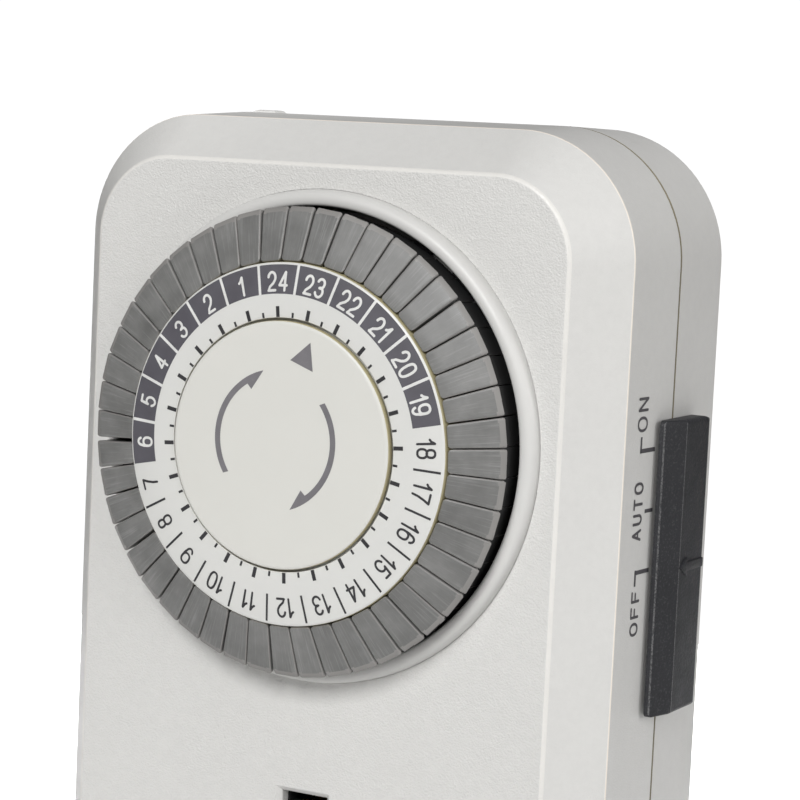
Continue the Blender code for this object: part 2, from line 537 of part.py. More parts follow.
gnd = stack("b", 0, PIN_Z, [(2.38, 19.6), (2.38, DEPTH + PIN_OUT - 2.4), (2.05, DEPTH + PIN_OUT - 1.0), (1.2, DEPTH + PIN_OUT)], 16)
done(gnd, "plug_ground_pin", "nickel", (0, DEPTH, PIN_Z), 40)

holder = box("h", -12.2, 12.2, 26.0, 32.3, -63.2, -41.8)
cut = [box("c", sx * BLADE_X - 1.05, sx * BLADE_X + 1.05, 24.0, 35.0, BLADE_Z - 3.5, BLADE_Z + 3.5) for sx in (-1, 1)]
cut.append(stack("c", 0, PIN_Z, [(2.7, 24.0), (2.7, 35.0)], 16))
boolean(holder, join("c", cut))
done(holder, "plug_holder", "insul", (0, 29.0, -52.0))

# insulator block behind the front socket, with a chamber for each clip
block = box("s", -6.5, 18.2, 2.6, 15.6, -65.5, -41.5)
cut = [box("c", SOCKET_X - 3.35, SOCKET_X + 3.35, 1.0, 6.0, HOT_Z - 1.1, HOT_Z + 1.1), box("c", SOCKET_X - 4.1, SOCKET_X + 4.1, 1.0, 6.0, NEUTRAL_Z - 1.1, NEUTRAL_Z + 1.1),
       stack("c", GROUND_X, GROUND_Z, [(2.7, 1.0), (2.7, 6.0)], 16)]
boolean(block, join("c", cut))
cut = [box("c", SOCKET_X - 4.9, SOCKET_X + 4.9, 4.4, 18.0, HOT_Z - 2.6, HOT_Z + 2.6), box("c", SOCKET_X - 4.9, SOCKET_X + 4.9, 4.4, 18.0, NEUTRAL_Z - 2.6, NEUTRAL_Z + 2.6),
       stack("c", GROUND_X, GROUND_Z, [(3.9, 4.4), (3.9, 18.0)], 20)]
boolean(block, join("c", cut))
done(block, "socket_block", "insul", (SOCKET_X, 9.0, GROUND_Z))


def clip(zc, y_end):
    """Two spring leaves joined behind; outline in (y, z), open towards the front."""
    o = [(4.9, 1.75), (5.6, 1.45), (8.5, 0.95), (13.0, 1.6), (y_end - 0.6, 1.6)]
    up = [(y, zc + z + 0.0) for y, z in o]
    dn = [(y, zc - z) for y, z in o]
    outer_up = [(y, zc + z + 0.55) for y, z in o[:-1]] + [(y_end, zc + 2.15)]
    outer_dn = [(y, zc - z - 0.55) for y, z in o[:-1]] + [(y_end, zc - 2.15)]
    return outer_up + outer_dn[::-1] + dn + up[::-1]


c = prism_x("c", clip(HOT_Z, 16.2), SOCKET_X - 3.4, SOCKET_X + 3.4)
done(c, "socket_clip_live", "brass", (SOCKET_X, 10.0, HOT_Z))
c = prism_x("c", clip(NEUTRAL_Z, 16.2), SOCKET_X - 4.1, SOCKET_X + 4.1)
done(c, "socket_clip_neutral", "brass", (SOCKET_X, 10.0, NEUTRAL_Z))
c = revolve("c", GROUND_X, GROUND_Z, [(2.9, 5.0), (3.5, 5.0), (3.2, 9.0), (3.5, 16.2), (2.9, 16.2), (2.6, 9.0)], 20)
done(c, "socket_clip_ground", "brass", (GROUND_X, 10.0, GROUND_Z), 40)

# switched bar from the live clip, neutral and ground bars to the plug
bar = prism_y("b", [(-2.6, -48.8), (3.6, -48.8), (3.6, -45.0), (-1.8, -45.0), (-1.8, -37.6), (-4.6, -37.6), (-4.6, -46.0)], 16.5, 17.3)
done(bar, "switched_bar", "brass", (0, 17.0, -43.0))
bar = prism_y("b", [(-8.6, -50.0), (-4.0, -50.0), (-4.0, -57.6), (4.6, -57.6), (4.6, -61.4), (-8.6, -61.4)], 18.5, 19.3)
boolean(bar, box("b", -2.0, 3.0, 16.5, 19.0, -60.6, -58.2), "UNION")
boolean(bar, stack("c", 0, PIN_Z, [(2.0, 25.0), (2.0, 26.0)], 8))
done(bar, "neutral_bar", "brass", (0, 19.0, -56.0))
bar = prism_y("b", [(5.6, -61.2), (5.6, -57.0), (9.0, -51.0), (15.6, -51.0), (15.6, -55.4), (11.0, -55.4), (9.6, -61.2)], 16.5, 17.3)
done(bar, "ground_bar", "brass", (8.0, 17.0, -57.0))


def tube(name, path, r, n=8):
    """Round wire along a polyline."""
    loops = []
    for i, p in enumerate(path):
        p = Vector(p)
        a = Vector(path[max(0, i - 1)])
        b = Vector(path[min(len(path) - 1, i + 1)])
        d = (b - a).normalized()
        u = d.cross(Vector((0.3, 1.0, 0.2))).normalized()
        v = d.cross(u)
        loops.append([tuple(p + u * r * math.cos(2 * math.pi * k / n) + v * r * math.sin(2 * math.pi * k / n)) for k in range(n)])
    return skin(name, loops)


w = tube("w", [(-8.2, 20.8, -47.5), (-8.9, 21.0, -44.0), (-12.5, 22.0, -40.0), (-15.0, 22.5, -35.0), (-15.5, 23.0, -30.5), (-14.5, 23.5, -28.2)], 0.7)
done(w, "motor_lead_neutral", "wire_white", (-12.0, 22.0, -40.0), 60)
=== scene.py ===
import math
import random

import bmesh
import bpy
from mathutils import Matrix, Vector


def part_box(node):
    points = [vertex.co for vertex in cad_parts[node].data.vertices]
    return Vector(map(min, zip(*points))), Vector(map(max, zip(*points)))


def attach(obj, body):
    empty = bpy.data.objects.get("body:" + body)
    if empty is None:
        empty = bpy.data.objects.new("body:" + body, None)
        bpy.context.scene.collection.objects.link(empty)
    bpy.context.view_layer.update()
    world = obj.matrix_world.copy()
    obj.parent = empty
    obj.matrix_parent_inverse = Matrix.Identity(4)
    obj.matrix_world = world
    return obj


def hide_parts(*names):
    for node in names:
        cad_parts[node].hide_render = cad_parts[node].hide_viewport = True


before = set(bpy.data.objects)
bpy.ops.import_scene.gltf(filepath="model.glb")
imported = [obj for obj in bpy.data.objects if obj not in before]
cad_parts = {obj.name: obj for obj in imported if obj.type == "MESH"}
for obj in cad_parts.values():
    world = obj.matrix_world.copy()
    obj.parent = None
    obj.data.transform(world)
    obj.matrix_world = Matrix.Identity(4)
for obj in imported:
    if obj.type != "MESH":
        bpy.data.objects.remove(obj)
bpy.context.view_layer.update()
MM = 0.001

# ---- anchors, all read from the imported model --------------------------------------
lo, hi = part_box("dial_wheel")
AX_X, AX_Z = 500 * (lo.x + hi.x), 500 * (lo.z + hi.z)      # dial axis, mm
lo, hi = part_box("rear_cover")
REAR = 1000 * hi.y - 0.6                                    # rear wall
lo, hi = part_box("front_cover")
FLAT = REAR - 34.8                                          # flat front face
HALF_W = 500 * (hi.x - lo.x)
TOP = 1000 * hi.z - AX_Z
BOTTOM = 1000 * lo.z - AX_Z
lo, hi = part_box("override_knob")
KNOB_Z0, KNOB_Z1 = 1000 * lo.z - AX_Z, 1000 * hi.z - AX_Z
KNOB_Z = 0.5 * (KNOB_Z0 + KNOB_Z1)
lo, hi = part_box("tappets_h01")
HOUR0 = 11.85
CORNER_R, CHAMFER_W, CHAMFER_D, DRAFT, PART_Y, DEPTH, WALL = 16.9, 5.7, 6.9, 0.7, 19.7, 34.8, 2.2


def row(x, y, z):
    """Dial-frame millimetres (y back from the front flat, x and z from the dial axis) to metres."""
    return Vector(((AX_X + x) * MM, (FLAT + y) * MM, (AX_Z + z) * MM))


# ---- node materials ------------------------------------------------------------------
class Mat:
    """Small helper around one Principled node tree."""

    def __init__(self, name):
        self.mat = bpy.data.materials.new(name)
        self.mat.use_nodes = True
        self.nt = self.mat.node_tree
        self.bsdf = self.nt.nodes["Principled BSDF"]
        self.co = self.nt.nodes.new("ShaderNodeTexCoord").outputs["Object"]

    def node(self, kind, **inputs):
        n = self.nt.nodes.new(kind)
        for k, v in inputs.items():
            key = k.replace("_", " ")
            if hasattr(v, "is_output") or isinstance(v, bpy.types.NodeSocket):
                self.nt.links.new(v, n.inputs[key])
            else:
                n.inputs[key].default_value = v
        return n

    def link(self, a, b):
        self.nt.links.new(a, b)

    def noise(self, scale, detail=3.0, rough=0.5, vector=None, dist=0.0):
        n = self.node("ShaderNodeTexNoise", Scale=scale, Detail=detail, Roughness=rough, Distortion=dist)
        self.link(vector or self.co, n.inputs["Vector"])
        return n.outputs["Fac"]

    def voronoi(self, scale, vector=None):
        n = self.node("ShaderNodeTexVoronoi", Scale=scale)
        self.link(vector or self.co, n.inputs["Vector"])
        return n.outputs["Distance"]

    def stretch(self, sx, sy, sz, vector=None):
        n = self.nt.nodes.new("ShaderNodeMapping")
        n.inputs["Scale"].default_value = (sx, sy, sz)
        self.link(vector or self.co, n.inputs["Vector"])
        return n.outputs["Vector"]

    def math(self, op, a, b=None, clamp=False):
        n = self.nt.nodes.new("ShaderNodeMath")
        n.operation = op
        n.use_clamp = clamp
        for i, v in enumerate((a, b)):
            if v is None:
                continue
            if isinstance(v, bpy.types.NodeSocket):
                self.link(v, n.inputs[i])
            else:
                n.inputs[i].default_value = v
        return n.outputs[0]

    def ramp(self, fac, stops):
        n = self.nt.nodes.new("ShaderNodeValToRGB")
        el = n.color_ramp.elements
        while len(el) < len(stops):
            el.new(0.5)
        for e, (pos, col) in zip(el, stops):
            e.position = pos
            e.color = (*col, 1.0) if len(col) == 3 else col
        self.link(fac, n.inputs["Fac"])
        return n.outputs["Color"]

    def spread(self, fac, lo, hi, a=0.0, b=1.0):
        n = self.nt.nodes.new("ShaderNodeMapRange")
        for key, v in (("From Min", lo), ("From Max", hi), ("To Min", a), ("To Max", b)):
            n.inputs[key].default_value = v
        self.link(fac, n.inputs["Value"])
        return n.outputs["Result"]

    def mix(self, fac, a, b, blend="MIX"):
        n = self.nt.nodes.new("ShaderNodeMix")
        n.data_type = "RGBA"
        n.blend_type = blend
        for key, v in ((0, fac), (6, a), (7, b)):
            if isinstance(v, bpy.types.NodeSocket):
                self.link(v, n.inputs[key])
            elif key == 0:
                n.inputs[key].default_value = v
            else:
                n.inputs[key].default_value = (*v, 1.0)
        return n.outputs[2]

    def colour(self, sock):
        self.link(sock, self.bsdf.inputs["Base Color"])
        return self

    def rough(self, sock):
        if isinstance(sock, bpy.types.NodeSocket):
            self.link(sock, self.bsdf.inputs["Roughness"])
        else:
            self.bsdf.inputs["Roughness"].default_value = sock
        return self

    def bump(self, *layers):
        """layers: (height socket, distance in metres, strength)."""
        last = None
        for height, dist, strength in layers:
            n = self.nt.nodes.new("ShaderNodeBump")
            n.inputs["Distance"].default_value = dist
            if isinstance(strength, bpy.types.NodeSocket):
                self.link(strength, n.inputs["Strength"])
            else:
                n.inputs["Strength"].default_value = strength
            self.link(height, n.inputs["Height"])
            if last is not None:
                self.link(last, n.inputs["Normal"])
            last = n.outputs["Normal"]
        self.link(last, self.bsdf.inputs["Normal"])
        return self


def scaled(col, k):
    return tuple(min(1.0, c * k) for c in col)


def plastic(name, col, rough=0.45, vary=0.04, grain=4000.0, depth=0.00002, strength=0.3, spec=0.5, coat=0.0):
    m = Mat(name)
    cloud = m.noise(60.0, 4.0, 0.6)
    m.colour(m.ramp(cloud, [(0.3, scaled(col, 1 - vary)), (0.7, scaled(col, 1 + vary))]))
    g = m.noise(grain, 2.0, 0.5)
    smudge = m.noise(180.0, 5.0, 0.65)
    m.rough(m.spread(smudge, 0.3, 0.7, rough - 0.05, rough + 0.06))
    m.bump((g, depth, strength))
    m.bsdf.inputs["Specular IOR Level"].default_value = spec
    m.bsdf.inputs["Coat Weight"].default_value = coat
    return m


def metal(name, col, rough=0.3, brushed=(1, 1, 1), strength=0.2, scale=3000.0, tarnish=0.12):
    m = Mat(name)
    v = m.stretch(*brushed)
    line = m.noise(scale, 3.0, 0.6, v)
    cloud = m.noise(110.0, 5.0, 0.65)
    m.colour(m.ramp(cloud, [(0.3, scaled(col, 1 - tarnish)), (0.55, col), (0.75, scaled(col, 1 + tarnish / 2))]))
    m.rough(m.spread(m.noise(300.0, 4.0, 0.6, v), 0.3, 0.7, rough - 0.08, rough + 0.12))
    m.bump((line, 0.00002, strength))
    m.bsdf.inputs["Metallic"].default_value = 1.0
    return m


# case plastic: spark-eroded grain on the flat front, finer on bevel and sides
SHELL = (0.66, 0.655, 0.635)


def shell_material(name, front):
    m = Mat(name)
    cloud = m.noise(35.0, 4.0, 0.6)
    fine = m.noise(900.0, 3.0, 0.6)
    base = m.ramp(cloud, [(0.3, scaled(SHELL, 0.985)), (0.7, scaled(SHELL, 1.015))])
    speck = m.ramp(fine, [(0.35, (0.975, 0.975, 0.975)), (0.65, (1.0, 1.0, 1.0))])
    m.colour(m.mix(1.0, base, speck, "MULTIPLY"))
    grain = m.noise(3600.0, 2.5, 0.55)
    cell = m.voronoi(4200.0)
    h = m.math("ADD", m.math("MULTIPLY", grain, 0.7), m.math("MULTIPLY", cell, 0.5))
    if front:
        sep = m.nt.nodes.new("ShaderNodeSeparateXYZ")
        m.link(m.co, sep.inputs[0])
        edge = (FLAT + 0.05) * MM
        mask = m.spread(sep.outputs["Y"], edge, edge + 0.0006, 0.55, 0.16)
        m.bump((h, 0.00020, mask))
        m.rough(m.spread(m.noise(240.0, 5.0, 0.6), 0.3, 0.7, 0.40, 0.50))
    else:
        m.bump((h, 0.00012, 0.16))
        m.rough(m.spread(m.noise(240.0, 5.0, 0.6), 0.3, 0.7, 0.42, 0.52))
    m.bsdf.inputs["Specular IOR Level"].default_value = 0.5
    return m.mat


MAT_FRONT = shell_material("case_front", True)
MAT_REAR = shell_material("case_rear", False)
# lighter plastic as painted highlight on the case's rounded edges; the warm one for the chamfer-to-side edge
MAT_EDGE_HIGHLIGHT = plastic("case_edge_painted_highlight", (0.725, 0.712, 0.68), 0.42, 0.03, 4000.0, 0.00008, 0.5).mat
MAT_EDGE_HIGHLIGHT_WARM = plastic("case_edge_warm_painted_highlight", (0.85, 0.79, 0.71), 0.42, 0.03, 4000.0, 0.00006, 0.4).mat
MAT_BEZEL = plastic("bezel_plastic", scaled(SHELL, 0.965), 0.42, 0.012, 2500.0, 0.00001, 0.06).mat
# near-black painted shade: stands in for the shade inside the dial well and on the tappets' outer walls
MAT_PAINTED_SHADE_BLACK = plastic("dial_well_painted_shade", (0.012, 0.012, 0.012), 0.7, 0.1, 1500.0, 0.00003, 0.3).mat
MAT_RING = plastic("number_ring_white", (0.665, 0.665, 0.64), 0.36, 0.012, 2600.0, 0.000008, 0.12).mat
MAT_DISC = plastic("centre_disc_white", (0.665, 0.66, 0.62), 0.42, 0.012, 2600.0, 0.00001, 0.16).mat
MAT_JOINT = plastic("parting_joint", (0.20, 0.175, 0.115), 0.7, 0.08, 1500.0, 0.00002, 0.2).mat
# warm-tinted painted shade for the white side walls of the number ring and centre disc
MAT_WALL_PAINTED_SHADE = plastic("wall_painted_shade_cream", (0.47, 0.42, 0.25), 0.5, 0.05, 2000.0, 0.00001, 0.1).mat


def print_material(name, col, rough=0.5):
    """Pad-printed ink: slightly uneven, with pinholes of lighter colour."""
    m = Mat(name)
    pin = m.noise(5200.0, 3.0, 0.7)
    cloud = m.noise(500.0, 3.0, 0.6)
    base = m.ramp(cloud, [(0.3, scaled(col, 0.93)), (0.7, scaled(col, 1.07))])
    m.colour(m.mix(m.spread(pin, 0.62, 0.74, 0.0, 0.35), base, scaled(col, 1.6)))
    m.rough(m.spread(cloud, 0.3, 0.7, rough - 0.06, rough + 0.06))
    m.bump((pin, 0.000004, 0.2))
    return m.mat


INK_DARK = print_material("ink_charcoal", (0.092, 0.088, 0.102))
INK_BLACK = print_material("ink_black", (0.030, 0.029, 0.032))
INK_WHITE = print_material("ink_white", (0.68, 0.68, 0.66))
INK_GREY = print_material("ink_grey", (0.1739, 0.1665, 0.1776))
INK_MARK = print_material("ink_mark", (0.075, 0.072, 0.078))


def tappet_material():
    """Mid grey moulded fingers; light rub marks run along each finger (radially); a lighter band at the outer bevel is
    a painted highlight.
    """
    m = Mat("tappet_grey")
    # radial / angular coordinates about the dial axis, so the streaks run outwards
    sub = m.nt.nodes.new("ShaderNodeVectorMath")
    sub.operation = "SUBTRACT"
    m.link(m.co, sub.inputs[0])
    sub.inputs[1].default_value = (AX_X * MM, 0.0, AX_Z * MM)
    sep = m.nt.nodes.new("ShaderNodeSeparateXYZ")
    m.link(sub.outputs[0], sep.inputs[0])
    ang = m.math("ARCTAN2", sep.outputs["X"], sep.outputs["Z"])
    length = m.nt.nodes.new("ShaderNodeVectorMath")
    length.operation = "LENGTH"
    flat = m.nt.nodes.new("ShaderNodeCombineXYZ")
    m.link(sep.outputs["X"], flat.inputs["X"])
    m.link(sep.outputs["Z"], flat.inputs["Z"])
    m.link(flat.outputs[0], length.inputs[0])
    rad = length.outputs["Value"]
    comb = m.nt.nodes.new("ShaderNodeCombineXYZ")
    m.link(m.math("MULTIPLY", ang, 120.0), comb.inputs["X"])
    m.link(m.math("MULTIPLY", rad, 160.0), comb.inputs["Y"])
    streak = m.noise(1.0, 5.0, 0.62, comb.outputs[0])
    comb2 = m.nt.nodes.new("ShaderNodeCombineXYZ")
    m.link(m.math("MULTIPLY", ang, 420.0), comb2.inputs["X"])
    m.link(m.math("MULTIPLY", rad, 260.0), comb2.inputs["Y"])
    hair = m.noise(1.0, 4.0, 0.6, comb2.outputs[0])
    cloud = m.noise(190.0, 4.0, 0.6)
    base = m.ramp(cloud, [(0.28, (0.132, 0.132, 0.128)), (0.5, (0.168, 0.168, 0.163)), (0.74, (0.215, 0.214, 0.208))])
    lit = m.mix(m.spread(streak, 0.54, 0.74, 0.0, 0.34), base, (0.42, 0.42, 0.41))
    lit = m.mix(m.spread(streak, 0.44, 0.28, 0.0, 0.36), lit, (0.115, 0.112, 0.106))
    lit = m.mix(m.spread(hair, 0.60, 0.76, 0.0, 0.24), lit, (0.48, 0.48, 0.47))
    # painted highlight: lighter tone on the outer bevel, by radius
    painted_rim_highlight = m.spread(rad, 0.02905, 0.0293, 0.0, 0.30)
    lit = m.mix(painted_rim_highlight, lit, (0.40, 0.375, 0.36))
    m.colour(lit)
    m.rough(m.spread(cloud, 0.3, 0.7, 0.36, 0.50))
    m.bump((hair, 0.00005, 0.35), (m.noise(2200.0, 2.0, 0.5), 0.00003, 0.25))
    return m.mat


MAT_TAP = tappet_material()
# lighter grey painted highlight for the fingers' front edges and outer bevel
MAT_TAP_EDGE_HIGHLIGHT = plastic("tappet_edge_painted_highlight", (0.24, 0.232, 0.222), 0.5, 0.14, 2200.0, 0.00002, 0.25).mat


def knob_material():
    m = Mat("knob_dark")
    cloud = m.noise(70.0, 4.0, 0.6)
    base = m.ramp(cloud, [(0.3, (0.015, 0.0155, 0.018)), (0.7, (0.022, 0.0225, 0.026))])
    speck = m.noise(3300.0, 2.0, 0.5)
    m.colour(m.mix(m.spread(speck, 0.56, 0.70, 0.0, 0.22), base, (0.13, 0.13, 0.135)))
    m.rough(m.spread(m.noise(260.0, 4.0, 0.6), 0.3, 0.7, 0.46, 0.58))
    m.bsdf.inputs["Specular IOR Level"].default_value = 0.34
    m.bump((m.noise(3000.0, 2.0, 0.5), 0.00012, 0.55))
    return m.mat


MAT_KNOB = knob_material()


def knob_edge_material():
    """Ridges of the slider painted paler and speckled as a highlight."""
    m = Mat("knob_ridge_painted_highlight")
    speck = m.noise(4200.0, 3.0, 0.6)
    m.colour(m.ramp(speck, [(0.38, (0.030, 0.030, 0.033)), (0.62, (0.135, 0.135, 0.137))]))
    m.rough(m.spread(m.noise(260.0, 4.0, 0.6), 0.3, 0.7, 0.28, 0.42))
    m.bump((m.noise(3000.0, 2.0, 0.5), 0.00010, 0.5))
    return m.mat


MAT_KNOB_RIDGE_HIGHLIGHT = knob_edge_material()
MAT_STEEL = metal("zinc_steel", (0.56, 0.56, 0.55), 0.34, (1, 6, 1), 0.15).mat
MAT_NICKEL = metal("nickel_plate", (0.66, 0.64, 0.59), 0.24, (1, 0.08, 1), 0.2).mat
MAT_BRASS = metal("stamped_brass", (0.70, 0.50, 0.22), 0.30, (1, 0.2, 1), 0.2).mat
MAT_SILVER = metal("contact_silver", (0.74, 0.73, 0.70), 0.28).mat


def winding_material():
    """Fine enamelled wire, wound in rings about the motor axis."""
    m = Mat("enamelled_copper")
    wave = m.nt.nodes.new("ShaderNodeTexWave")
    wave.wave_type = "BANDS"
    wave.bands_direction = "Y"
    wave.inputs["Scale"].default_value = 900.0
    wave.inputs["Distortion"].default_value = 0.6
    m.link(m.co, wave.inputs["Vector"])
    m.colour(m.ramp(wave.outputs["Fac"], [(0.0, (0.30, 0.10, 0.04)), (1.0, (0.72, 0.30, 0.13))]))
    m.bsdf.inputs["Metallic"].default_value = 0.8
    m.rough(m.spread(m.noise(200.0), 0.3, 0.7, 0.28, 0.42))
    m.bump((wave.outputs["Fac"], 0.0001, 0.5))
    return m.mat


MAT_COPPER = winding_material()
MAT_NYLON = plastic("natural_nylon", (0.66, 0.64, 0.55), 0.42, 0.05, 2400.0, 0.00001, 0.15).mat
MAT_INSUL = plastic("phenolic_dark", (0.030, 0.029, 0.030), 0.5, 0.12, 1800.0, 0.00003, 0.35).mat
MAT_WIRE = plastic("pvc_white", (0.68, 0.68, 0.66), 0.38, 0.04, 1200.0, 0.00001, 0.15).mat


# ---- mesh helpers -----------------------------------------------------------------------
def link(name, me, mat, body, smooth=30):
    obj = bpy.data.objects.new(name, me)
    me.name = name
    bpy.context.scene.collection.objects.link(obj)
    for m in (mat if isinstance(mat, (list, tuple)) else [mat]):
        me.materials.append(m)
    if smooth:
        me.shade_smooth()
        me.set_sharp_from_angle(angle=math.radians(smooth))
    if body:
        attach(obj, body)
    return obj


def mesh(verts, faces, name="m"):
    me = bpy.data.meshes.new(name)
    me.from_pydata([tuple(v) for v in verts], [], faces)
    me.validate()
    bm = bmesh.new()
    bm.from_mesh(me)
    bmesh.ops.recalc_face_normals(bm, faces=bm.faces)
    bm.to_mesh(me)
    bm.free()
    return me


def skin(loops, caps=True):
    n = len(loops[0])
    verts = [row(*p) for lp in loops for p in lp]
    faces = [list(range(n))[::-1], [(len(loops) - 1) * n + i for i in range(n)]] if caps else []
    for k in range(len(loops) - 1):
        for i in range(n):
            j = (i + 1) % n
            faces.append([k * n + i, k * n + j, (k + 1) * n + j, (k + 1) * n + i])
    return mesh(verts, faces)


def prism_y(poly, y0, y1):
    return skin([[(x, y0, z) for x, z in poly], [(x, y1, z) for x, z in poly]])


def box(x0, x1, y0, y1, z0, z1):
    return prism_y([(x0, z0), (x1, z0), (x1, z1), (x0, z1)], y0, y1)


def circle(cx, cz, r, n, ph=0.0):
    return [(cx + r * math.cos(2 * math.pi * i / n + ph), cz + r * math.sin(2 * math.pi * i / n + ph)) for i in range(n)]


def stack(cx, cz, prof, n):
    return skin([[(x, y, z) for x, z in circle(cx, cz, r, n)] for r, y in prof])


def revolve(cx, cz, prof, n):
    m = len(prof)
    verts = []
    for i in range(n):
        a = 2 * math.pi * i / n
        verts += [row(cx + r * math.cos(a), y, cz + r * math.sin(a)) for r, y in prof]
    faces = []
    for i in range(n):
        j = (i + 1) % n
        for k in range(m):
            q = (k + 1) % m
            faces.append([i * m + k, i * m + q, j * m + q, j * m + k])
    return mesh(verts, faces)


def temp(me):
    obj = bpy.data.objects.new("tmp", me)
    bpy.context.scene.collection.objects.link(obj)
    return obj


def boolean(me, cutters, op="DIFFERENCE"):
    """Applies exact booleans with each cutter mesh in turn and returns the result mesh."""
    obj = temp(me)
    for cutter in cutters:
        other = temp(cutter)
        mod = obj.modifiers.new("b", "BOOLEAN")
        mod.object, mod.operation, mod.solver = other, op, "EXACT"
        bpy.context.view_layer.update()
        dg = bpy.context.evaluated_depsgraph_get()
        out = bpy.data.meshes.new_from_object(obj.evaluated_get(dg))
        obj.modifiers.clear()
        obj.data = out
        bpy.data.objects.remove(other, do_unlink=True)
    out = obj.data
    bpy.data.objects.remove(obj, do_unlink=True)
    bm = bmesh.new()
    bm.from_mesh(out)
    bmesh.ops.remove_doubles(bm, verts=bm.verts, dist=1e-7)
    bmesh.ops.dissolve_degenerate(bm, edges=bm.edges, dist=1e-7)
    bm.to_mesh(out)
    bm.free()
    return out


def joined(meshes):
    bm = bmesh.new()
    for me in meshes:
        bm.from_mesh(me)
    out = bpy.data.meshes.new("j")
    bm.to_mesh(out)
    bm.free()
    return out


def modified(me, *mods):
    """Returns the mesh with modifiers applied; each is (kind, {settings})."""
    obj = temp(me)
    for kind, settings in mods:
        mod = obj.modifiers.new(kind, kind)
        for k, v in settings.items():
            setattr(mod, k, v)
    bpy.context.view_layer.update()
    dg = bpy.context.evaluated_depsgraph_get()
    out = bpy.data.meshes.new_from_object(obj.evaluated_get(dg))
    bpy.data.objects.remove(obj, do_unlink=True)
    return out


def bevelled(me, width, seg=2, angle=30):
    return modified(me, ("BEVEL", {"width": width * MM, "segments": seg, "limit_method": "ANGLE", "angle_limit": math.radians(angle), "harden_normals": False}))


def weighted(obj):
    mod = obj.modifiers.new("wn", "WEIGHTED_NORMAL")
    mod.keep_sharp = True
    mod.weight = 80
    return obj


def fillet(pts, radii, seg=8):
    out = [pts[0]]
    for i in range(1, len(pts) - 1):
        p, r = Vector(pts[i]), radii[i]
        if not r:
            out.append(tuple(p))
            continue
        a = (Vector(pts[i - 1]) - p).normalized()
        b = (Vector(pts[i + 1]) - p).normalized()
        half = a.angle(b) / 2
        t = r / math.tan(half)
        c = p + (a + b).normalized() * (r / math.sin(half))
        s, e = p + a * t - c, p + b * t - c
        ang = s.angle_signed(e)
        for k in range(seg + 1):
            th = -ang * k / seg
            v = Vector((s.x * math.cos(th) - s.y * math.sin(th), s.x * math.sin(th) + s.y * math.cos(th)))
            out.append(tuple(c + v))
    out.append(pts[-1])
    return out


def draft(y):
    if y <= CHAMFER_D:
        return DRAFT
    return DRAFT * max(0.0, (PART_Y - 0.15 - y)) / (PART_Y - 0.15 - CHAMFER_D)


def outline(s, y, n=22, low=None):
    b = max(0.0, s - draft(y)) if low is None else low
    rt, rb = CORNER_R - s, CORNER_R - b
    pts = []
    for cx, cz, r, a0 in ((HALF_W - s - rt, TOP - s - rt, rt, 0), (-(HALF_W - s - rt), TOP - s - rt, rt, 90),
                          (-(HALF_W - s - rb), BOTTOM + b + rb, rb, 180), (HALF_W - s - rb, BOTTOM + b + rb, rb, 270)):
        for k in range(n + 1):
            a = math.radians(a0 + 90 * k / n)
            pts.append((cx + r * math.cos(a), y, cz + r * math.sin(a)))
    return pts


GAP = 0.09
CH_NY = -CHAMFER_W / math.hypot(CHAMFER_W, CHAMFER_D)
# ---- front cover ---------------------------------------------------------------------------
SOCKET_X, HOT_Z = 0.5, -47.15
NEUTRAL_Z = HOT_Z - 12.7
GROUND_X, GROUND_Z = SOCKET_X + 11.9, HOT_Z - 6.35
BOSSES = [(-29.5, 30.0), (29.5, 30.0), (-30.0, -72.0), (30.0, -72.0)]

prof = fillet([(14.0, 0.0), (CHAMFER_W + DRAFT, 0.0), (DRAFT, CHAMFER_D), (0.0, PART_Y - 0.15)], [0, 0.9, 0.45, 0])
# a small rounding at the parting line reads as a crisp dark joint
loops = [outline(s, y) for s, y in prof[1:-1]]
loops += [outline(0.0, PART_Y - 0.30), outline(0.03, PART_Y - 0.16, low=0.03), outline(0.12, PART_Y - GAP, low=0.12)]
loops += [outline(1.0, PART_Y - GAP, low=1.0), outline(1.05, 17.9, low=1.0), outline(2.29, 17.9, low=WALL),
          outline(2.9, 7.69, low=WALL), outline(7.44, 2.2, low=6.74)]
shell = skin(loops)


def bevelled_slot(cx, cz, hw, hh, bev):
    """Slot with a rounded lead-in: wide mouth, short radius, then straight walls."""
    rect = lambda a, b, y: [(cx - a, y, cz - b), (cx + a, y, cz - b), (cx + a, y, cz + b), (cx - a, y, cz + b)]
    return skin([rect(hw + bev + 0.6, hh + bev + 0.6, -0.6), rect(hw + bev, hh + bev, 0.0), rect(hw + 0.12, hh + 0.12, bev - 0.12),
                 rect(hw, hh, bev + 0.1), rect(hw, hh, 4.0)])


def ground_loop(hw, flat, y, n=20):
    pts = [(GROUND_X - flat, y, GROUND_Z + hw), (GROUND_X - flat, y, GROUND_Z - hw)]
    for k in range(n + 1):
        a = math.radians(-90 + 180 * k / n)
        pts.append((GROUND_X + hw * math.cos(a), y, GROUND_Z + hw * math.sin(a)))
    return pts


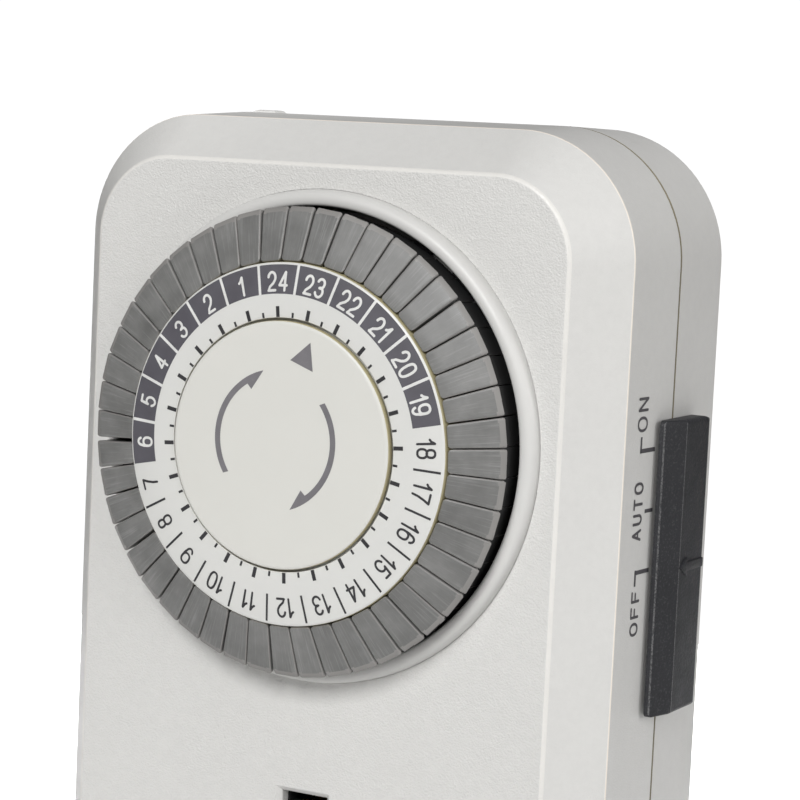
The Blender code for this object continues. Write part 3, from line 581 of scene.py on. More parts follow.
BEZ_X, BEZ_Z = 0.30, 0.38
cuts = [stack(BEZ_X, BEZ_Z, [(31.56, -4.0), (31.56, -0.06), (31.50, 0.0), (31.50, 1.0), (31.2, 1.0), (31.2, 5.0)], 192),
        joined([bevelled_slot(SOCKET_X, HOT_Z, 3.35, 1.1, 0.65), bevelled_slot(SOCKET_X, NEUTRAL_Z, 4.1, 1.1, 0.65),
                skin([ground_loop(3.95, 3.65, -0.6), ground_loop(3.35, 3.05, 0.0), ground_loop(2.82, 2.52, 0.53), ground_loop(2.7, 2.4, 0.75), ground_loop(2.7, 2.4, 4.0)])]),
        box(36.0, 44.0, 17.2, 30.0, -16.4, 4.6)]
shell = boolean(shell, cuts)
front = weighted(link("front_cover_shell", shell, [MAT_FRONT, MAT_JOINT, MAT_EDGE_HIGHLIGHT, MAT_EDGE_HIGHLIGHT_WARM], "housing", 28))
# painted highlight: fillet polygons between front and chamfer (index 2) and between chamfer and side (index 3), chosen
# by normal, take the lighter materials
for poly in front.data.polygons:
    c, n = poly.center, poly.normal
    if c.y * 1000 - FLAT < 18.0 and (abs(c.x * 1000 - AX_X) > 30 or c.z * 1000 - AX_Z > 30 or c.z * 1000 - AX_Z < BOTTOM + 12):
        if -0.985 < n.y < CH_NY - 0.02:
            poly.material_index = 2
        elif CH_NY + 0.03 < n.y < -0.12:
            poly.material_index = 3
    c = poly.center
    if c.y * 1000 - FLAT > PART_Y - 0.11 or (c.y * 1000 - FLAT > 17.0 and abs(c.x * 1000 - AX_X) < HALF_W - 0.9 and BOTTOM + 0.9 < c.z * 1000 - AX_Z < TOP - 0.9):
        poly.material_index = 1
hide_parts("front_cover")
for i, (sx, sz) in enumerate(BOSSES):
    b = boolean(stack(sx, sz, [(4.2, 2.3), (4.2, 15.3), (3.9, 15.7)], 32), [stack(sx, sz, [(1.7, 7.0), (1.7, 20.0)], 24)])
    link("screw_boss_%d" % (i + 1), b, MAT_REAR, "housing")
for i, sx in enumerate((-27.0, 27.0)):
    b = stack(sx, -33.5, [(3.0, 2.3), (3.0, 11.7), (2.8, 11.9), (1.4, 11.9), (1.4, 13.3), (1.1, 13.6)], 28)
    link("chassis_peg_%d" % (i + 1), b, MAT_REAR, "housing")

# bezel ring around the dial: rounded crest; the inside below the lip is painted near-black as shade
crest = [(29.36, 1.2), (29.36, -1.26), (29.39, -1.47), (29.48, -1.65), (29.62, -1.77), (29.82, -1.84), (30.08, -1.87), (30.36, -1.85), (30.64, -1.77), (30.90, -1.62),
         (31.12, -1.39), (31.28, -1.08), (31.38, -0.72), (31.43, -0.36), (31.46, 0.0), (31.46, 0.9), (31.15, 0.95), (31.1, 1.3), (31.1, 6.9), (29.36, 6.9)]
bezel = link("bezel_ring", revolve(BEZ_X, BEZ_Z, crest, 240), [MAT_BEZEL, MAT_PAINTED_SHADE_BLACK], "housing", 40)
for poly in bezel.data.polygons:
    c = poly.center
    r = math.hypot(c.x * 1000 - AX_X - BEZ_X, c.z * 1000 - AX_Z - BEZ_Z)
    # painted shade: the inner wall below the lip and the hidden back faces take the near-black material
    if (r < 29.38 and c.y * 1000 - FLAT > -1.2) or c.y * 1000 - FLAT > 1.1:
        poly.material_index = 1

# ---- rear cover -----------------------------------------------------------------------------
loops = [outline(2.5, DEPTH - WALL, low=2.5), outline(2.4, 18.2, low=2.4), outline(1.25, 18.2, low=1.25), outline(1.25, PART_Y + GAP, low=1.25),
         outline(0.12, PART_Y + GAP, low=0.12), outline(0.03, PART_Y + 0.16, low=0.03), outline(0.0, PART_Y + 0.24)]
loops += [outline(s, y) for s, y in fillet([(0.0, PART_Y + 0.24), (0.135, DEPTH), (6.0, DEPTH)], [0, 1.5, 0], 7)[1:-1]]
back = skin(loops)
pad = prism_y([(-15, -66), (15, -66), (17, -64), (17, -41), (15, -39), (-15, -39), (-17, -41), (-17, -64)], 34.0, 35.4)
pad = boolean(pad, [prism_y([(-12.5, -63.5), (12.5, -63.5), (12.5, -41.5), (-12.5, -41.5)], 33.0, 37.0)])
pad = bevelled(pad, 0.25, 2)
bump = skin([[(-23.9, 20.3, 38.0), (-23.9, 23.3, 38.0), (-20.2, 23.3, 38.0), (-20.2, 20.3, 38.0)],
             [(-23.9, 20.3, 41.2), (-23.9, 23.3, 41.2), (-20.2, 23.3, 41.2), (-20.2, 20.3, 41.2)],
             [(-23.5, 20.5, 41.45), (-23.5, 23.1, 41.45), (-20.5, 23.1, 41.45), (-20.5, 20.5, 41.45)],
             [(-22.9, 20.9, 41.56), (-22.9, 22.7, 41.56), (-20.9, 22.7, 41.56), (-20.9, 20.9, 41.56)]])
back = boolean(back, [pad, bump], "UNION")
cuts = [box(sx * 6.35 - 1.05, sx * 6.35 + 1.05, 30.0, 37.0, -50.5, -43.5) for sx in (-1, 1)]
cuts.append(stack(0, -58.9, [(2.7, 30.0), (2.7, 37.0)], 40))
cuts += [prism_y([(-8.3, z), (8.3, z), (9.0, z + 0.75), (8.3, z + 1.5), (-8.3, z + 1.5), (-9.0, z + 0.75)], 30.0, 37.0) for z in (16.0, 20.0, 24.0, 28.0)]
cuts += [stack(sx, sz, [(3.1, 31.2), (3.1, 34.5), (3.5, 34.9), (3.9, 37.0)], 40) for sx, sz in BOSSES]
back = boolean(back, [joined(cuts), box(36.0, 44.0, 15.0, 22.8, -16.4, 4.6)])
rear = weighted(link("rear_cover_shell", back, [MAT_REAR, MAT_JOINT], "housing", 28))
for poly in rear.data.polygons:
    if poly.center.y * 1000 - FLAT < PART_Y + 0.22:
        poly.material_index = 1
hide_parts("rear_cover")
for i, (sx, sz) in enumerate(BOSSES):
    b = boolean(stack(sx, sz, [(3.9, 16.0), (4.2, 16.4), (4.2, 32.5)], 32), [stack(sx, sz, [(1.75, 14.0), (1.75, 31.2), (3.1, 31.2), (3.1, 37.0)], 24)])
    link("screw_post_%d" % (i + 1), b, MAT_REAR, "housing")

# ---- dial: number ring with its drum, flange and gear ------------------------------------------
CONE = [(15.95, -8.22), (18.87, -8.30), (22.45, -7.80)]


def cone_h(r):
    """Height of the number ring's face at radius r (negative is towards the front)."""
    if r <= CONE[1][0]:
        (r0, h0), (r1, h1) = CONE[0], CONE[1]
    else:
        (r0, h0), (r1, h1) = CONE[1], CONE[2]
    return h0 + (h1 - h0) * (r - r0) / (r1 - r0)


ring_prof = [(3.05, -5.8), (5.5, -5.8), (5.5, -4.2), (13.0, -4.2), (13.0, -7.3), (15.9, -7.3), (15.9, -8.17), (15.95, -8.22), (18.87, -8.30),
             (22.45, -7.80), (22.64, -7.74), (22.76, -7.62), (22.8, -7.4), (22.8, 4.4), (28.85, 4.4), (29.0, 4.55), (29.0, 5.75), (28.85, 5.9), (23.2, 5.9),
             (23.2, 11.4), (21.3, 11.4), (21.3, -2.4), (5.5, -2.4), (5.5, 10.0), (3.05, 10.0)]
ring = link("number_ring", revolve(0, 0, ring_prof, 240), [MAT_RING, MAT_WALL_PAINTED_SHADE], "dial", 32)
for poly in ring.data.polygons:
    c = poly.center
    r = math.hypot(c.x * 1000 - AX_X, c.z * 1000 - AX_Z)
    y = c.y * 1000 - FLAT
    # painted shade: the ring's outer wall takes the warm-tinted shade material
    if r > 22.72 and -7.66 < y < 4:
        poly.material_index = 1
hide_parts("dial_wheel")


def gear_outline(cx, cz, m, t, phase, add, ded, slack):
    rp, pa = m * t / 2, math.radians(20)
    rb, ra, rf = rp * math.cos(pa), rp + add, rp - ded
    inv = lambda a: math.tan(a) - a
    half = math.pi / (2 * t) - slack / (2 * rp)
    h = lambda r: half + inv(pa) - inv(math.acos(min(1.0, rb / max(r, rb))))
    radii = [rf, max(rf, rb), rp, 0.5 * (rp + ra), ra]
    pts = []
    for k in range(t):
        c = phase + 2 * math.pi * k / t
        for r in radii:
            pts.append((r, c - h(max(r, rb))))
        for r in reversed(radii):
            pts.append((r, c + h(max(r, rb))))
    return [(cx + r * math.cos(a), cz + r * math.sin(a)) for r, a in pts]


gear = boolean(prism_y(gear_outline(0, 0, 0.8, 60, math.radians(225), 0.64, 1.0, 0.16), 9.2, 11.2), [stack(0, 0, [(23.0, 8.0), (23.0, 13.0)], 96)])
link("dial_gear", gear, MAT_RING, "dial", 25)


def on_cone(r, cw, lift=0.018):
    """Point on the number ring; cw is the angle clockwise from up, seen from the front."""
    a = math.radians(cw)
    return (r * math.sin(a), cone_h(r) - lift, r * math.cos(a))


def sector(r0, r1, a0, a1, seg, lift=0.012, rseg=4):
    """Patch on the number ring between two radii and two clockwise angles."""
    verts, faces = [], []
    for i in range(seg + 1):
        for j in range(rseg + 1):
            verts.append(row(*on_cone(r0 + (r1 - r0) * j / rseg, a0 + (a1 - a0) * i / seg, lift)))
    for i in range(seg):
        for j in range(rseg):
            a = i * (rseg + 1) + j
            faces.append([a, a + 1, a + rseg + 2, a + rseg + 1])
    return mesh(verts, faces)


def bar(r0, r1, cw, width, lift=0.02):
    """Radial tick of constant width."""
    verts, faces = [], []
    n = 6
    for i in range(n + 1):
        r = r0 + (r1 - r0) * i / n
        d = math.degrees(width / 2 / r)
        verts += [row(*on_cone(r, cw - d, lift)), row(*on_cone(r, cw + d, lift))]
    for i in range(n):
        faces.append([2 * i, 2 * i + 1, 2 * i + 3, 2 * i + 2])
    return mesh(verts, faces)


BAND0, BAND1 = 18.87, 22.5


def hour_cw(h):
    """Clockwise angle of hour h's centre: hours run counter-clockwise."""
    return -(HOUR0 + 15.0 * (h - 0.5))


# dark band: hours 19 to 24 and 1 to 6, one patch from hour 6's far edge to hour 19's
band = sector(BAND0, BAND1, hour_cw(6) - 7.5, hour_cw(6) - 7.5 + 180.0, 180)
link("band_night", band, INK_DARK, "dial")
dark_hours = [19, 20, 21, 22, 23, 24, 1, 2, 3, 4, 5, 6]
white_marks, black_marks = [], []
for h in range(1, 25):
    edge = hour_cw(h) + 7.5              # clockwise side, shared with the hour before
    before = 24 if h == 1 else h - 1
    if h in dark_hours and before in dark_hours:
        white_marks.append(bar(BAND0 - 0.02, BAND1 + 0.02, edge, 0.37, 0.024))
    elif h not in dark_hours and before not in dark_hours:
        black_marks.append(bar(BAND0 - 0.02, BAND1 - 0.10, edge, 0.29, 0.02))
    # long tick under each number, short ticks at the half-way points
    black_marks.append(bar(15.97, 17.32, hour_cw(h), 0.50, 0.02))
    black_marks.append(bar(15.97, 16.62, hour_cw(h) + 7.5, 0.30, 0.02))
link("dial_lines_white", joined(white_marks), INK_WHITE, "dial")
link("dial_lines_black", joined(black_marks), INK_BLACK, "dial")


def arc(cx, cy, rx, ry, a0, a1, n=14):
    return [(cx + rx * math.cos(math.radians(a0 + (a1 - a0) * i / n)), cy + ry * math.sin(math.radians(a0 + (a1 - a0) * i / n))) for i in range(n + 1)]


def oval(cx, cy, rx, ry, ex=2.35, n=40):
    """Closed, slightly squared oval."""
    pts = []
    for i in range(n + 1):
        c, q = math.cos(2 * math.pi * i / n), math.sin(2 * math.pi * i / n)
        pts.append((cx + rx * math.copysign(abs(c) ** (2 / ex), c), cy + ry * math.copysign(abs(q) ** (2 / ex), q)))
    return pts


SIX = [arc(0.52, 0.72, 0.42, 0.28, 22, 178) + [(0.02, 0.62), (0.0, 0.32)], oval(0.5, 0.31, 0.5, 0.31)]
STROKES = {
    "0": (1.0, [oval(0.5, 0.5, 0.5, 0.5, 2.5)]),
    "1": (0.50, [[(0.0, 0.72), (0.42, 0.80), (0.86, 1.0)], [(0.86, 1.0), (0.86, 0.0)]]),
    "2": (1.0, [arc(0.49, 0.70, 0.46, 0.30, 172, -28) + [(0.70, 0.40), (0.22, 0.20), (0.05, 0.0)], [(0.02, 0.0), (1.0, 0.0)]]),
    "3": (1.0, [arc(0.47, 0.74, 0.43, 0.26, 160, -78) + [(0.40, 0.5)], [(0.40, 0.5)] + arc(0.47, 0.27, 0.50, 0.27, 78, -165)]),
    "4": (1.0, [[(0.74, 0.0), (0.74, 1.0)], [(0.74, 1.0), (0.0, 0.28)], [(0.0, 0.28), (1.0, 0.28)]]),
    "5": (1.0, [[(0.90, 1.0), (0.20, 1.0)], [(0.20, 1.0), (0.08, 0.50)], [(0.08, 0.50)] + arc(0.47, 0.32, 0.51, 0.32, 128, -160)]),
    "6": (1.0, SIX),
    "7": (1.0, [[(0.0, 1.0), (1.0, 1.0)], [(1.0, 1.0), (0.72, 0.66), (0.50, 0.32), (0.40, 0.0)]]),
    "8": (1.0, [oval(0.5, 0.76, 0.41, 0.24), oval(0.5, 0.27, 0.5, 0.27)]),
    "9": (1.0, [[(1 - x, 1 - y) for x, y in path] for path in SIX]),
    "O": (1.12, [oval(0.5, 0.5, 0.5, 0.5, 2.2)]),
    "N": (1.0, [[(0.0, 0.0), (0.0, 1.0)], [(0.0, 1.0), (1.0, 0.0)], [(1.0, 0.0), (1.0, 1.0)]]),
    "A": (1.08, [[(0.0, 0.0), (0.5, 1.0)], [(0.5, 1.0), (1.0, 0.0)], [(0.18, 0.35), (0.82, 0.35)]]),
    "U": (1.0, [[(0.0, 1.0), (0.0, 0.36)] + arc(0.5, 0.34, 0.5, 0.34, 180, 360)[1:-1] + [(1.0, 0.36), (1.0, 1.0)]]),
    "T": (1.0, [[(0.0, 1.0), (1.0, 1.0)], [(0.5, 1.0), (0.5, 0.0)]]),
    "F": (0.92, [[(0.0, 0.0), (0.0, 1.0)], [(0.0, 1.0), (1.0, 1.0)], [(0.0, 0.53), (0.86, 0.53)]]),
}


def ribbon(path, hw):
    """Constant-width strip along a polyline; word() adds the round dab at each open end."""
    n = len(path)
    closed = math.dist(path[0], path[-1]) < 1e-6
    verts, faces = [], []
    for i, (x, y) in enumerate(path):
        if closed:
            (ax, ay), (bx, by) = path[i - 1 if i else n - 2], path[i + 1 if i < n - 1 else 1]
        else:
            (ax, ay), (bx, by) = path[max(0, i - 1)], path[min(n - 1, i + 1)]
        l = math.hypot(bx - ax, by - ay)
        nx, ny = -(by - ay) / l * hw, (bx - ax) / l * hw
        verts += [(x + nx, y + ny), (x - nx, y - ny)]
    for i in range(n - 1):
        faces.append((2 * i, 2 * i + 1, 2 * i + 3, 2 * i + 2))
    return verts, faces


def dab(x, y, r, n=12):
    return [(x + r * math.cos(2 * math.pi * i / n), y + r * math.sin(2 * math.pi * i / n)) for i in range(n)], [tuple(range(n))]


def word(text, height, width, gap, stroke, place):
    """Lettering as strokes. `place(u, w, lift)` lays a point in mm from the word's centre onto the part."""
    total = sum(STROKES[c][0] * (width - stroke) + stroke for c in text) + gap * (len(text) - 1)
    at = -total / 2
    bm = bmesh.new()
    k = 0
    for c in text:
        w = STROKES[c][0] * (width - stroke)
        for path in STROKES[c][1]:
            pts = [(at + stroke / 2 + x * w, (y - 0.5) * (height - stroke)) for x, y in path]
            shapes = [ribbon(pts, stroke / 2)]
            if math.dist(pts[0], pts[-1]) > 1e-6:
                shapes += [dab(*pts[0], stroke / 2), dab(*pts[-1], stroke / 2)]
            for verts, faces in shapes:
                vs = [bm.verts.new(place(u, v, 0.0012 * k)) for u, v in verts]
                for f in faces:
                    bm.faces.new([vs[i] for i in f])
                k += 1
        at += w + stroke + gap
    me = bpy.data.meshes.new("w")
    bmesh.ops.triangulate(bm, faces=bm.faces)
    bm.to_mesh(me)
    bm.free()
    return me


def number_on_ring(text, r, cw, stroke):
    """Digits read with their tops outwards; every point is laid on the cone."""
    return word(text, 2.58, 1.40, 0.26, stroke, lambda u, w, up: row(*on_cone(r + w, cw + math.degrees(u / r), 0.028 + up)))


white_digits, black_digits = [], []
for h in range(1, 25):
    (white_digits if h in dark_hours else black_digits).append(number_on_ring(str(h), 20.42, hour_cw(h), 0.335 if h <= 6 or h >= 19 else 0.295))
link("numerals_white", joined(white_digits), INK_WHITE, "dial", 0)
link("numerals_black", joined(black_digits), INK_BLACK, "dial", 0)

# ---- centre disc ---------------------------------------------------------------------------------
DISC_H = -8.81
disc_prof = [(2.3, -7.6), (15.3, -7.6), (15.5, -7.7), (15.55, -7.85), (15.55, -8.50), (15.50, -8.66), (15.38, -8.76), (15.2, -8.805), (14.9, DISC_H), (6.0, DISC_H), (0.5, DISC_H)]
disc = link("centre_cap", skin([[(x, y, z) for x, z in circle(0, 0, r, 200)] for r, y in disc_prof]), [MAT_DISC, MAT_WALL_PAINTED_SHADE], "housing", 50)
for poly in disc.data.polygons:
    y = poly.center.y * 1000 - FLAT
    r = math.hypot(poly.center.x * 1000 - AX_X, poly.center.z * 1000 - AX_Z)
    # painted shade: the disc's side wall takes the warm-tinted shade material
    if -8.6 < y < -7.65 and r > 15:
        poly.material_index = 1
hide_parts("centre_disc")
sleeve = revolve(0, 0, [(2.3, -6.1), (4.4, -6.1), (4.5, -6.2), (4.5, -7.6), (2.3, -7.6)], 48)
link("centre_sleeve", sleeve, MAT_DISC, "housing")


def flat_print(pts, y):
    """Printed polygon on the disc; pts in x, z millimetres."""
    return mesh([row(x, y, z) for x, z in pts], [list(range(len(pts)))])


def arrow(turn):
    """Curved arrow about the print's own centre: one barb, on the inside."""
    cx, cz, ro, ri = -0.62, 0.60, 8.75, 7.97
    at = lambda r, cw: (cx + r * math.sin(math.radians(cw + turn)), cz + r * math.cos(math.radians(cw + turn)))
    n = 40
    outer = [at(ro + 0.08 * max(0.0, (cw + 40.0) / 27.0), cw) for cw in [-123.2 + 110.0 * k / n for k in range(n + 1)]]
    inner = [at(ri, cw) for cw in [-32.3 - 92.4 * k / n for k in range(n + 1)]]
    head = [at(7.12, -31.0)]
    verts = [row(x, DISC_H - 0.02, z) for x, z in outer + head + inner]
    me = bpy.data.meshes.new("a")
    me.from_pydata([tuple(v) for v in verts], [], [list(range(len(verts)))])
    bm = bmesh.new()
    bm.from_mesh(me)
    bmesh.ops.triangulate(bm, faces=bm.faces, ngon_method="EAR_CLIP")
    bm.to_mesh(me)
    bm.free()
    return me


marks = [arrow(0.0), arrow(176.0), flat_print([(3.96, 13.17), (1.18, 10.79), (4.46, 9.58)], DISC_H - 0.02)]
link("disc_arrows", joined(marks), INK_GREY, "housing", 0)

# ---- tappets ------------------------------------------------------------------------------------------
rng = random.Random(7)


def round_off(d, radius):
    """How far a quarter-round edge has fallen back at distance d from its side."""
    x = max(0.0, radius - d)
    return radius - math.sqrt(radius * radius - x * x)


def finger(mid, lift, skew, gap0, gap1, rise):
    """One half-hour tappet: sloped and rounded top, outer bevel (painted lighter as a highlight by the materials),
    undercut outer wall.
    """
    a = math.radians(mid)
    er, et = (-math.sin(a), math.cos(a)), (math.cos(a), math.sin(a))
    tan, sec = math.tan(math.radians(3.75)), 1 / math.cos(math.radians(3.75))
    ends = []
    stations = [(-1, d) for d in (0.0, 0.02, 0.06, 0.12, 0.20, 0.32, 0.60, 1.05)] + [(0, 0.0)] + [(1, d) for d in (1.05, 0.60, 0.32, 0.20, 0.12, 0.06, 0.02, 0.0)]
    for sgn, d in stations:
        if sgn == 0:
            d = 1.4
        r0 = 22.86 + round_off(d, 0.42)
        r1 = 29.64 - round_off(d, 0.32)
        drop = round_off(d, 0.22)
        top = lambda r: -7.30 + 0.338 * (r - 23.35)
        prof = [(r0, 0.9), (r0, -6.90), (r0 + 0.02, -7.14), (r0 + 0.07, -7.29), (r0 + 0.16, -7.36), (r0 + 0.32, top(r0 + 0.32)), (24.6, top(24.6)), (26.2, top(26.2)),
                (27.6, top(27.6)), (28.76, top(28.76)), (28.90, top(28.90) + 0.02), (29.05, -5.34), (r1 - 0.07, -4.99), (r1, -4.88), (r1 - 0.03, -4.76), (28.80, -4.60), (28.72, 0.9)]
        lp = []
        for k, (r, y) in enumerate(prof):
            off = (gap0 if sgn < 0 else gap1) / 2 * sec
            t = sgn * (r * tan - off - d) if sgn else 0.5 * (gap0 - gap1) / 2 * sec
            yy = y
            if 1 <= k <= 14:
                yy = y + (drop if k < 13 else 0.5 * drop) - (lift + rise * (r - 22.9) / 6.7 + skew * max(-1.0, min(1.0, t / 1.6)))
            lp.append((r * er[0] + t * et[0], yy, r * er[1] + t * et[1]))
        ends.append(lp)
    return skin(ends)


leg_loops = [[(x, y, z) for x, z in ((-1.55, 25.85), (1.55, 25.85), (1.55, 28.15), (-1.55, 28.15))] for y in (-1.0, 5.6)] + [[(x, 6.3, z) for x, z in ((-1.3, 26.1), (1.3, 26.1), (1.3, 27.9), (-1.3, 27.9))]]
GAPS = {}
for k in range(48):
    GAPS[k] = 0.15 + 0.10 * rng.random() ** 2
GAPS[11], GAPS[15], GAPS[40], GAPS[28] = 0.52, 0.36, 0.34, 0.27
for h in range(1, 25):
    ccw = -hour_cw(h)
    parts = []
    rise = 0.75 * max(0.0, math.cos(math.radians(hour_cw(h) - 262.0))) ** 0.8
    for n, side in enumerate((-3.75, 3.75)):
        k = 2 * (h - 1) + n
        lift = rng.uniform(-0.16, 0.0)
        parts.append(finger(ccw + side, lift, rng.uniform(-0.05, 0.05), GAPS[(k + 1) % 48], GAPS[k], rise + rng.uniform(-0.05, 0.05)))
    a = math.radians(ccw)
    er, et = (-math.sin(a), math.cos(a)), (math.cos(a), math.sin(a))
    parts.append(skin([[(x * et[0] + z * er[0], y, x * et[1] + z * er[1]) for x, y, z in lp] for lp in leg_loops]))
    tap = link("tappet_pair_%02d" % h, joined(parts), [MAT_TAP, MAT_PAINTED_SHADE_BLACK, MAT_TAP_EDGE_HIGHLIGHT], "hour_%02d" % h, 38)
    for poly in tap.data.polygons:
        c = poly.center
        r = math.hypot(c.x * 1000 - AX_X, c.z * 1000 - AX_Z)
        y = c.y * 1000 - FLAT
        # painted shade: the fingers' outer walls, down in the well, take the near-black material
        if r > 28.7 and y > -4.75 and abs(poly.normal.y) < 0.6:
            poly.material_index = 1
        # painted highlight: front edge and bevel faces, picked by radius and normal, take the lighter grey
        elif y < -4.4 and (r > 29.0 or (0.2 < -poly.normal.y < 0.86 and r < 28.9)):
            poly.material_index = 2
    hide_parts("tappets_h%02d" % h)

# ---- override slider --------------------------------------------------------------------------------------
base = [(40.95, 14.9), (41.55, 14.9), (43.08, 18.8), (43.2, 26.45), (40.95, 26.45)]
sect = fillet([(40.95, 20.0)] + base[4:5] + base[3:4] + base[2:3] + base[1:2] + base[0:1] + [(40.95, 19.9)], [0, 0.0, 0.7, 0.75, 0.65, 0.0, 0], 6)
sect = sect[1:-1]
mid_y = 20.2


def knob_loop(d, z, lean):
    lp = []
    for x, y in sect:
        lp.append((min(x, 43.22 - d) if x > 41.3 else x, min(max(y, 14.9 + d), 26.45 - 1.6 * d), z))
    return lp


loops = []
for k in range(7):
    a = math.radians(90 * k / 6)
    loops.append(knob_loop(0.8 * (1 - math.sin(a)), KNOB_Z0 + 0.8 * (1 - math.cos(a)), 0))
for k in range(7):
    a = math.radians(90 * (1 - k / 6))
    loops.append(knob_loop(0.8 * (1 - math.sin(a)), KNOB_Z1 - 0.8 * (1 - math.cos(a)), 0))
knob = link("slider_knob", skin(loops), [MAT_KNOB, MAT_KNOB_RIDGE_HIGHLIGHT], "override", 40)
# painted highlight: ridge and edge fillet polygons, chosen by normal, take the paler speckled material
for poly in knob.data.polygons:
    n = poly.normal
    if abs(n.z) < 0.35 and ((n.x > 0.9 and -0.31 < n.y < -0.07) or (0.6 < n.x < 0.88 and n.y < -0.47)):
        poly.material_index = 1
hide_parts("override_knob")
stem = bevelled(box(38.3, 41.2, 18.1, 21.9, KNOB_Z - 2.5, KNOB_Z + 2.5), 0.2)
link("slider_stem", stem, MAT_KNOB, "override")
ar = [(18.7, 0.0), (20.8, 1.25), (20.8, 0.6), (26.0, 0.6), (26.0, -0.6), (20.8, -0.6), (20.8, -1.25)]
me = skin([[(x, y, KNOB_Z + z) for y, z in ar] for x in (42.7, 43.38)])
link("slider_arrow", bevelled(me, 0.12, 2), MAT_KNOB, "override")

# ---- OFF / AUTO / ON marks printed on the side wall -----------------------------------------------------------


def side_x(y):
    """Outer face of the right side wall at depth y."""
    return HALF_W - draft(y)


def side_word(text, z0, z1, y0, y1, gap=0.5):
    """Word reading upwards; letter tops face the front."""
    units = sum(STROKES[c][0] for c in text)
    stroke = 0.36
    width = ((z1 - z0) - gap * (len(text) - 1) - stroke * len(text)) / units + stroke
    zc, yc = 0.5 * (z0 + z1), 0.5 * (y0 + y1)
    return word(text, y1 - y0, width, gap, stroke, lambda u, w, up: row(side_x(yc - w) + 0.03 + up, yc - w, zc + u))


def side_patch(y0, y1, z0, z1):
    return mesh([row(side_x(y) + 0.03, y, z) for y, z in ((y0, z0), (y1, z0), (y1, z1), (y0, z1))], [[0, 1, 2, 3]])


marks = [side_word("ON", 4.0, 8.35, 9.95, 12.7, 0.6), side_word("AUTO", -9.7, -2.25, 10.05, 12.5), side_word("OFF", -21.75, -16.0, 10.85, 13.1)]
marks += [side_patch(11.0, 11.45, 1.35, 3.4), side_patch(11.0, 15.1, 1.35, 1.9)]
marks += [side_patch(13.2, 15.4, -6.3, -5.82)]
marks += [side_patch(11.35, 11.8, -15.4, -13.35), side_patch(11.35, 15.3, -13.95, -13.4)]
link("side_marks", joined(marks), INK_MARK, "housing", 0)

# ---- plug ----------------------------------------------------------------------------------------------------------


def blade(cx, y0, name):
    lp = []
    for y, k, w in ((y0, 1, 1), (50.3, 1, 1), (51.3, 0.9, 0.93), (52.0, 0.62, 0.82), (52.3, 0.45, 0.72)):
        lp.append([(cx + a, y, -47.0 + c) for a, c in ((-0.75 * k, -3.17 * w), (0.75 * k, -3.17 * w), (0.75 * k, 3.17 * w), (-0.75 * k, 3.17 * w))])
    me = boolean(skin(lp), [skin([[(x, y, z) for y, z in circle(46.8, -47.0, 1.6, 24)] for x in (cx - 3, cx + 3)])])
    obj = link(name + "_polished", bevelled(me, 0.12, 2), MAT_NICKEL, "housing", 35)
    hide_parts(name)


blade(6.35, 24.9, "plug_blade_live")
blade(-6.35, 19.6, "plug_blade_neutral")
pin_prof = [(2.3, 19.6), (2.38, 19.8), (2.38, 52.6), (2.30, 53.6), (2.05, 54.5), (1.6, 55.2), (1.0, 55.65), (0.4, 55.8)]
pin = link("ground_pin_turned", stack(0, -58.9, pin_prof, 48), MAT_NICKEL, "housing", 50)
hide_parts("plug_ground_pin")

# ---- inner CAD pieces keep their shape and take detailed materials -------------------------------------------------
KEEP = {
    MAT_STEEL: ["housing_screw_ul", "housing_screw_ur", "housing_screw_ll", "housing_screw_lr", "dial_post", "reduction_axle", "motor_plate",
                "motor_can", "lever_pin", "detent_spring"],
    MAT_NYLON: ["override_carriage", "chassis_plate", "reduction_gear", "switch_lever"],
    MAT_BRASS: ["contact_arm", "live_bar", "switched_bar", "neutral_bar", "ground_bar", "socket_clip_live", "socket_clip_neutral", "socket_clip_ground"],
    MAT_COPPER: ["motor_coil"],
    MAT_NICKEL: ["motor_rotor"],
    MAT_INSUL: ["plug_holder", "socket_block"],
    MAT_WIRE: ["motor_lead_neutral"],
}
for mat, names in KEEP.items():
    for n in names:
        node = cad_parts[n]
        node.data.materials.clear()
        node.data.materials.append(mat)

# ---- stage, light, camera ---------------------------------------------------------------------------------------------
floor_mat = Mat("studio_floor")
floor_mat.colour(floor_mat.ramp(floor_mat.noise(3.0), [(0.3, (0.86, 0.86, 0.86)), (0.7, (0.90, 0.90, 0.90))]))
floor_mat.rough(0.8)
ring_n = 96
verts = [(0.30 * math.cos(2 * math.pi * i / ring_n), 0.30 * math.sin(2 * math.pi * i / ring_n), 0.0) for i in range(ring_n)]
fl = bpy.data.meshes.new("studio_floor")
fl.from_pydata(verts, [], [list(range(ring_n))])
fl.materials.append(floor_mat.mat)
floor = bpy.data.objects.new("studio_floor", fl)
bpy.context.scene.collection.objects.link(floor)

# white surround for the eye, dimmer and warmer-cooler for the light it gives
world = bpy.data.worlds.new("studio")
world.use_nodes = True
wt = world.node_tree
bg_light = wt.nodes["Background"]
bg_eye = wt.nodes.new("ShaderNodeBackground")
bg_eye.inputs["Color"].default_value = (1, 1, 1, 1)
bg_eye.inputs["Strength"].default_value = 1.05
bg_light.inputs["Strength"].default_value = 1.0
tc = wt.nodes.new("ShaderNodeTexCoord")
sep = wt.nodes.new("ShaderNodeSeparateXYZ")
ramp = wt.nodes.new("ShaderNodeValToRGB")
ramp.color_ramp.elements[0].position, ramp.color_ramp.elements[0].color = 0.0, (0.20, 0.195, 0.19, 1)
ramp.color_ramp.elements[1].position, ramp.color_ramp.elements[1].color = 1.0, (0.20, 0.20, 0.21, 1)
wt.links.new(tc.outputs["Generated"], sep.inputs[0])
wt.links.new(sep.outputs["Z"], ramp.inputs["Fac"])
wt.links.new(ramp.outputs["Color"], bg_light.inputs["Color"])
side = wt.nodes.new("ShaderNodeMapRange")
side.inputs["From Min"].default_value = -1.0
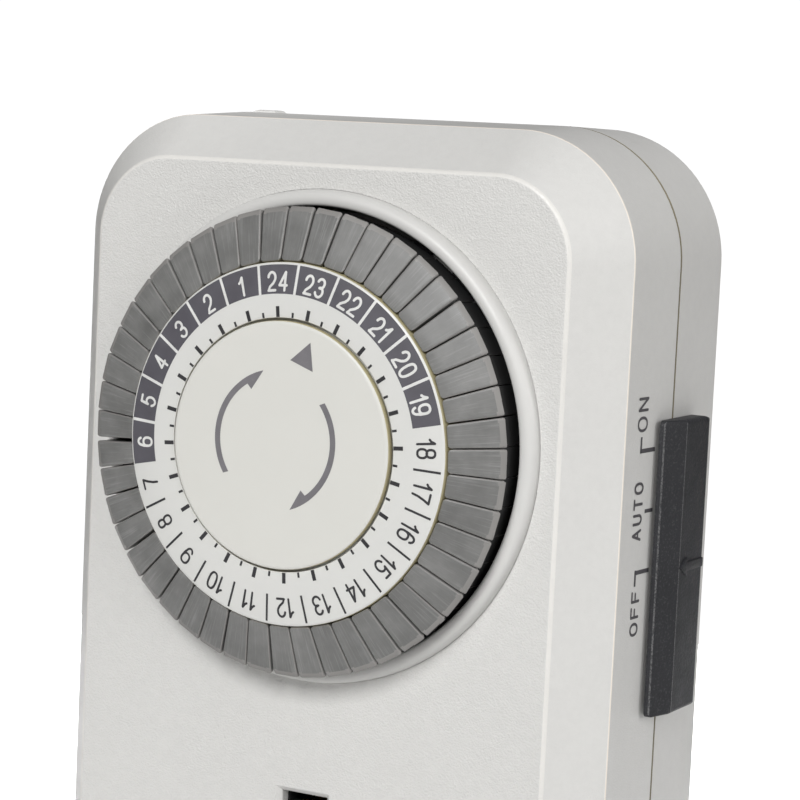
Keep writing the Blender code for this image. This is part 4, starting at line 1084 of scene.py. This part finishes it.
side.inputs["From Max"].default_value = 1.0
side.inputs["To Min"].default_value = 0.0
side.inputs["To Max"].default_value = 1.6
wt.links.new(sep.outputs["X"], side.inputs["Value"])
wt.links.new(side.outputs["Result"], bg_light.inputs["Strength"])
path = wt.nodes.new("ShaderNodeLightPath")
mixer = wt.nodes.new("ShaderNodeMixShader")
wt.links.new(path.outputs["Is Camera Ray"], mixer.inputs[0])
wt.links.new(bg_light.outputs[0], mixer.inputs[1])
wt.links.new(bg_eye.outputs[0], mixer.inputs[2])
wt.links.new(mixer.outputs[0], wt.nodes["World Output"].inputs["Surface"])
bpy.context.scene.world = world


def area(name, loc, target, size, power, spread=180.0):
    li = bpy.data.lights.new(name, "AREA")
    li.shape = "RECTANGLE"
    li.size, li.size_y = size
    li.energy = power
    li.spread = math.radians(spread)
    obj = bpy.data.objects.new(name, li)
    obj.location = loc
    obj.rotation_euler = (Vector(target) - Vector(loc)).to_track_quat("-Z", "Y").to_euler()
    bpy.context.scene.collection.objects.link(obj)
    return obj


area("key", (0.10, -0.80, 0.57), (0, 0, 0.08), (0.34, 0.34), 7.05)
area("right_front", (0.80, -0.55, 0.52), (0, 0, 0.09), (0.4, 0.4), 1.2)
area("right_strip", (0.95, 0.16, 0.34), (0, 0, 0.09), (0.16, 0.4), 1.9)
area("floor_wash", (-0.08, 0.14, 0.60), (-0.17, 0.30, 0.0), (0.24, 0.24), 3.2, 54.0)

cam_data = bpy.data.cameras.new("camera")
cam_data.lens = 116.84
cam_data.sensor_width = 36.0
cam = bpy.data.objects.new("camera", cam_data)
right, up, back_dir = Vector((0.87668, 0.47874, 0.04738)), Vector((-0.09067, 0.06770, 0.99358)), Vector((0.47246, -0.87534, 0.10276))
m = Matrix((right, up, back_dir)).transposed().to_4x4()
m.translation = row(165.09, -283.50, 39.50)
cam.matrix_world = m
bpy.context.scene.collection.objects.link(cam)
bpy.context.scene.camera = cam
bpy.context.scene.view_settings.view_transform = "Standard"
bpy.context.scene.view_settings.look = "None"
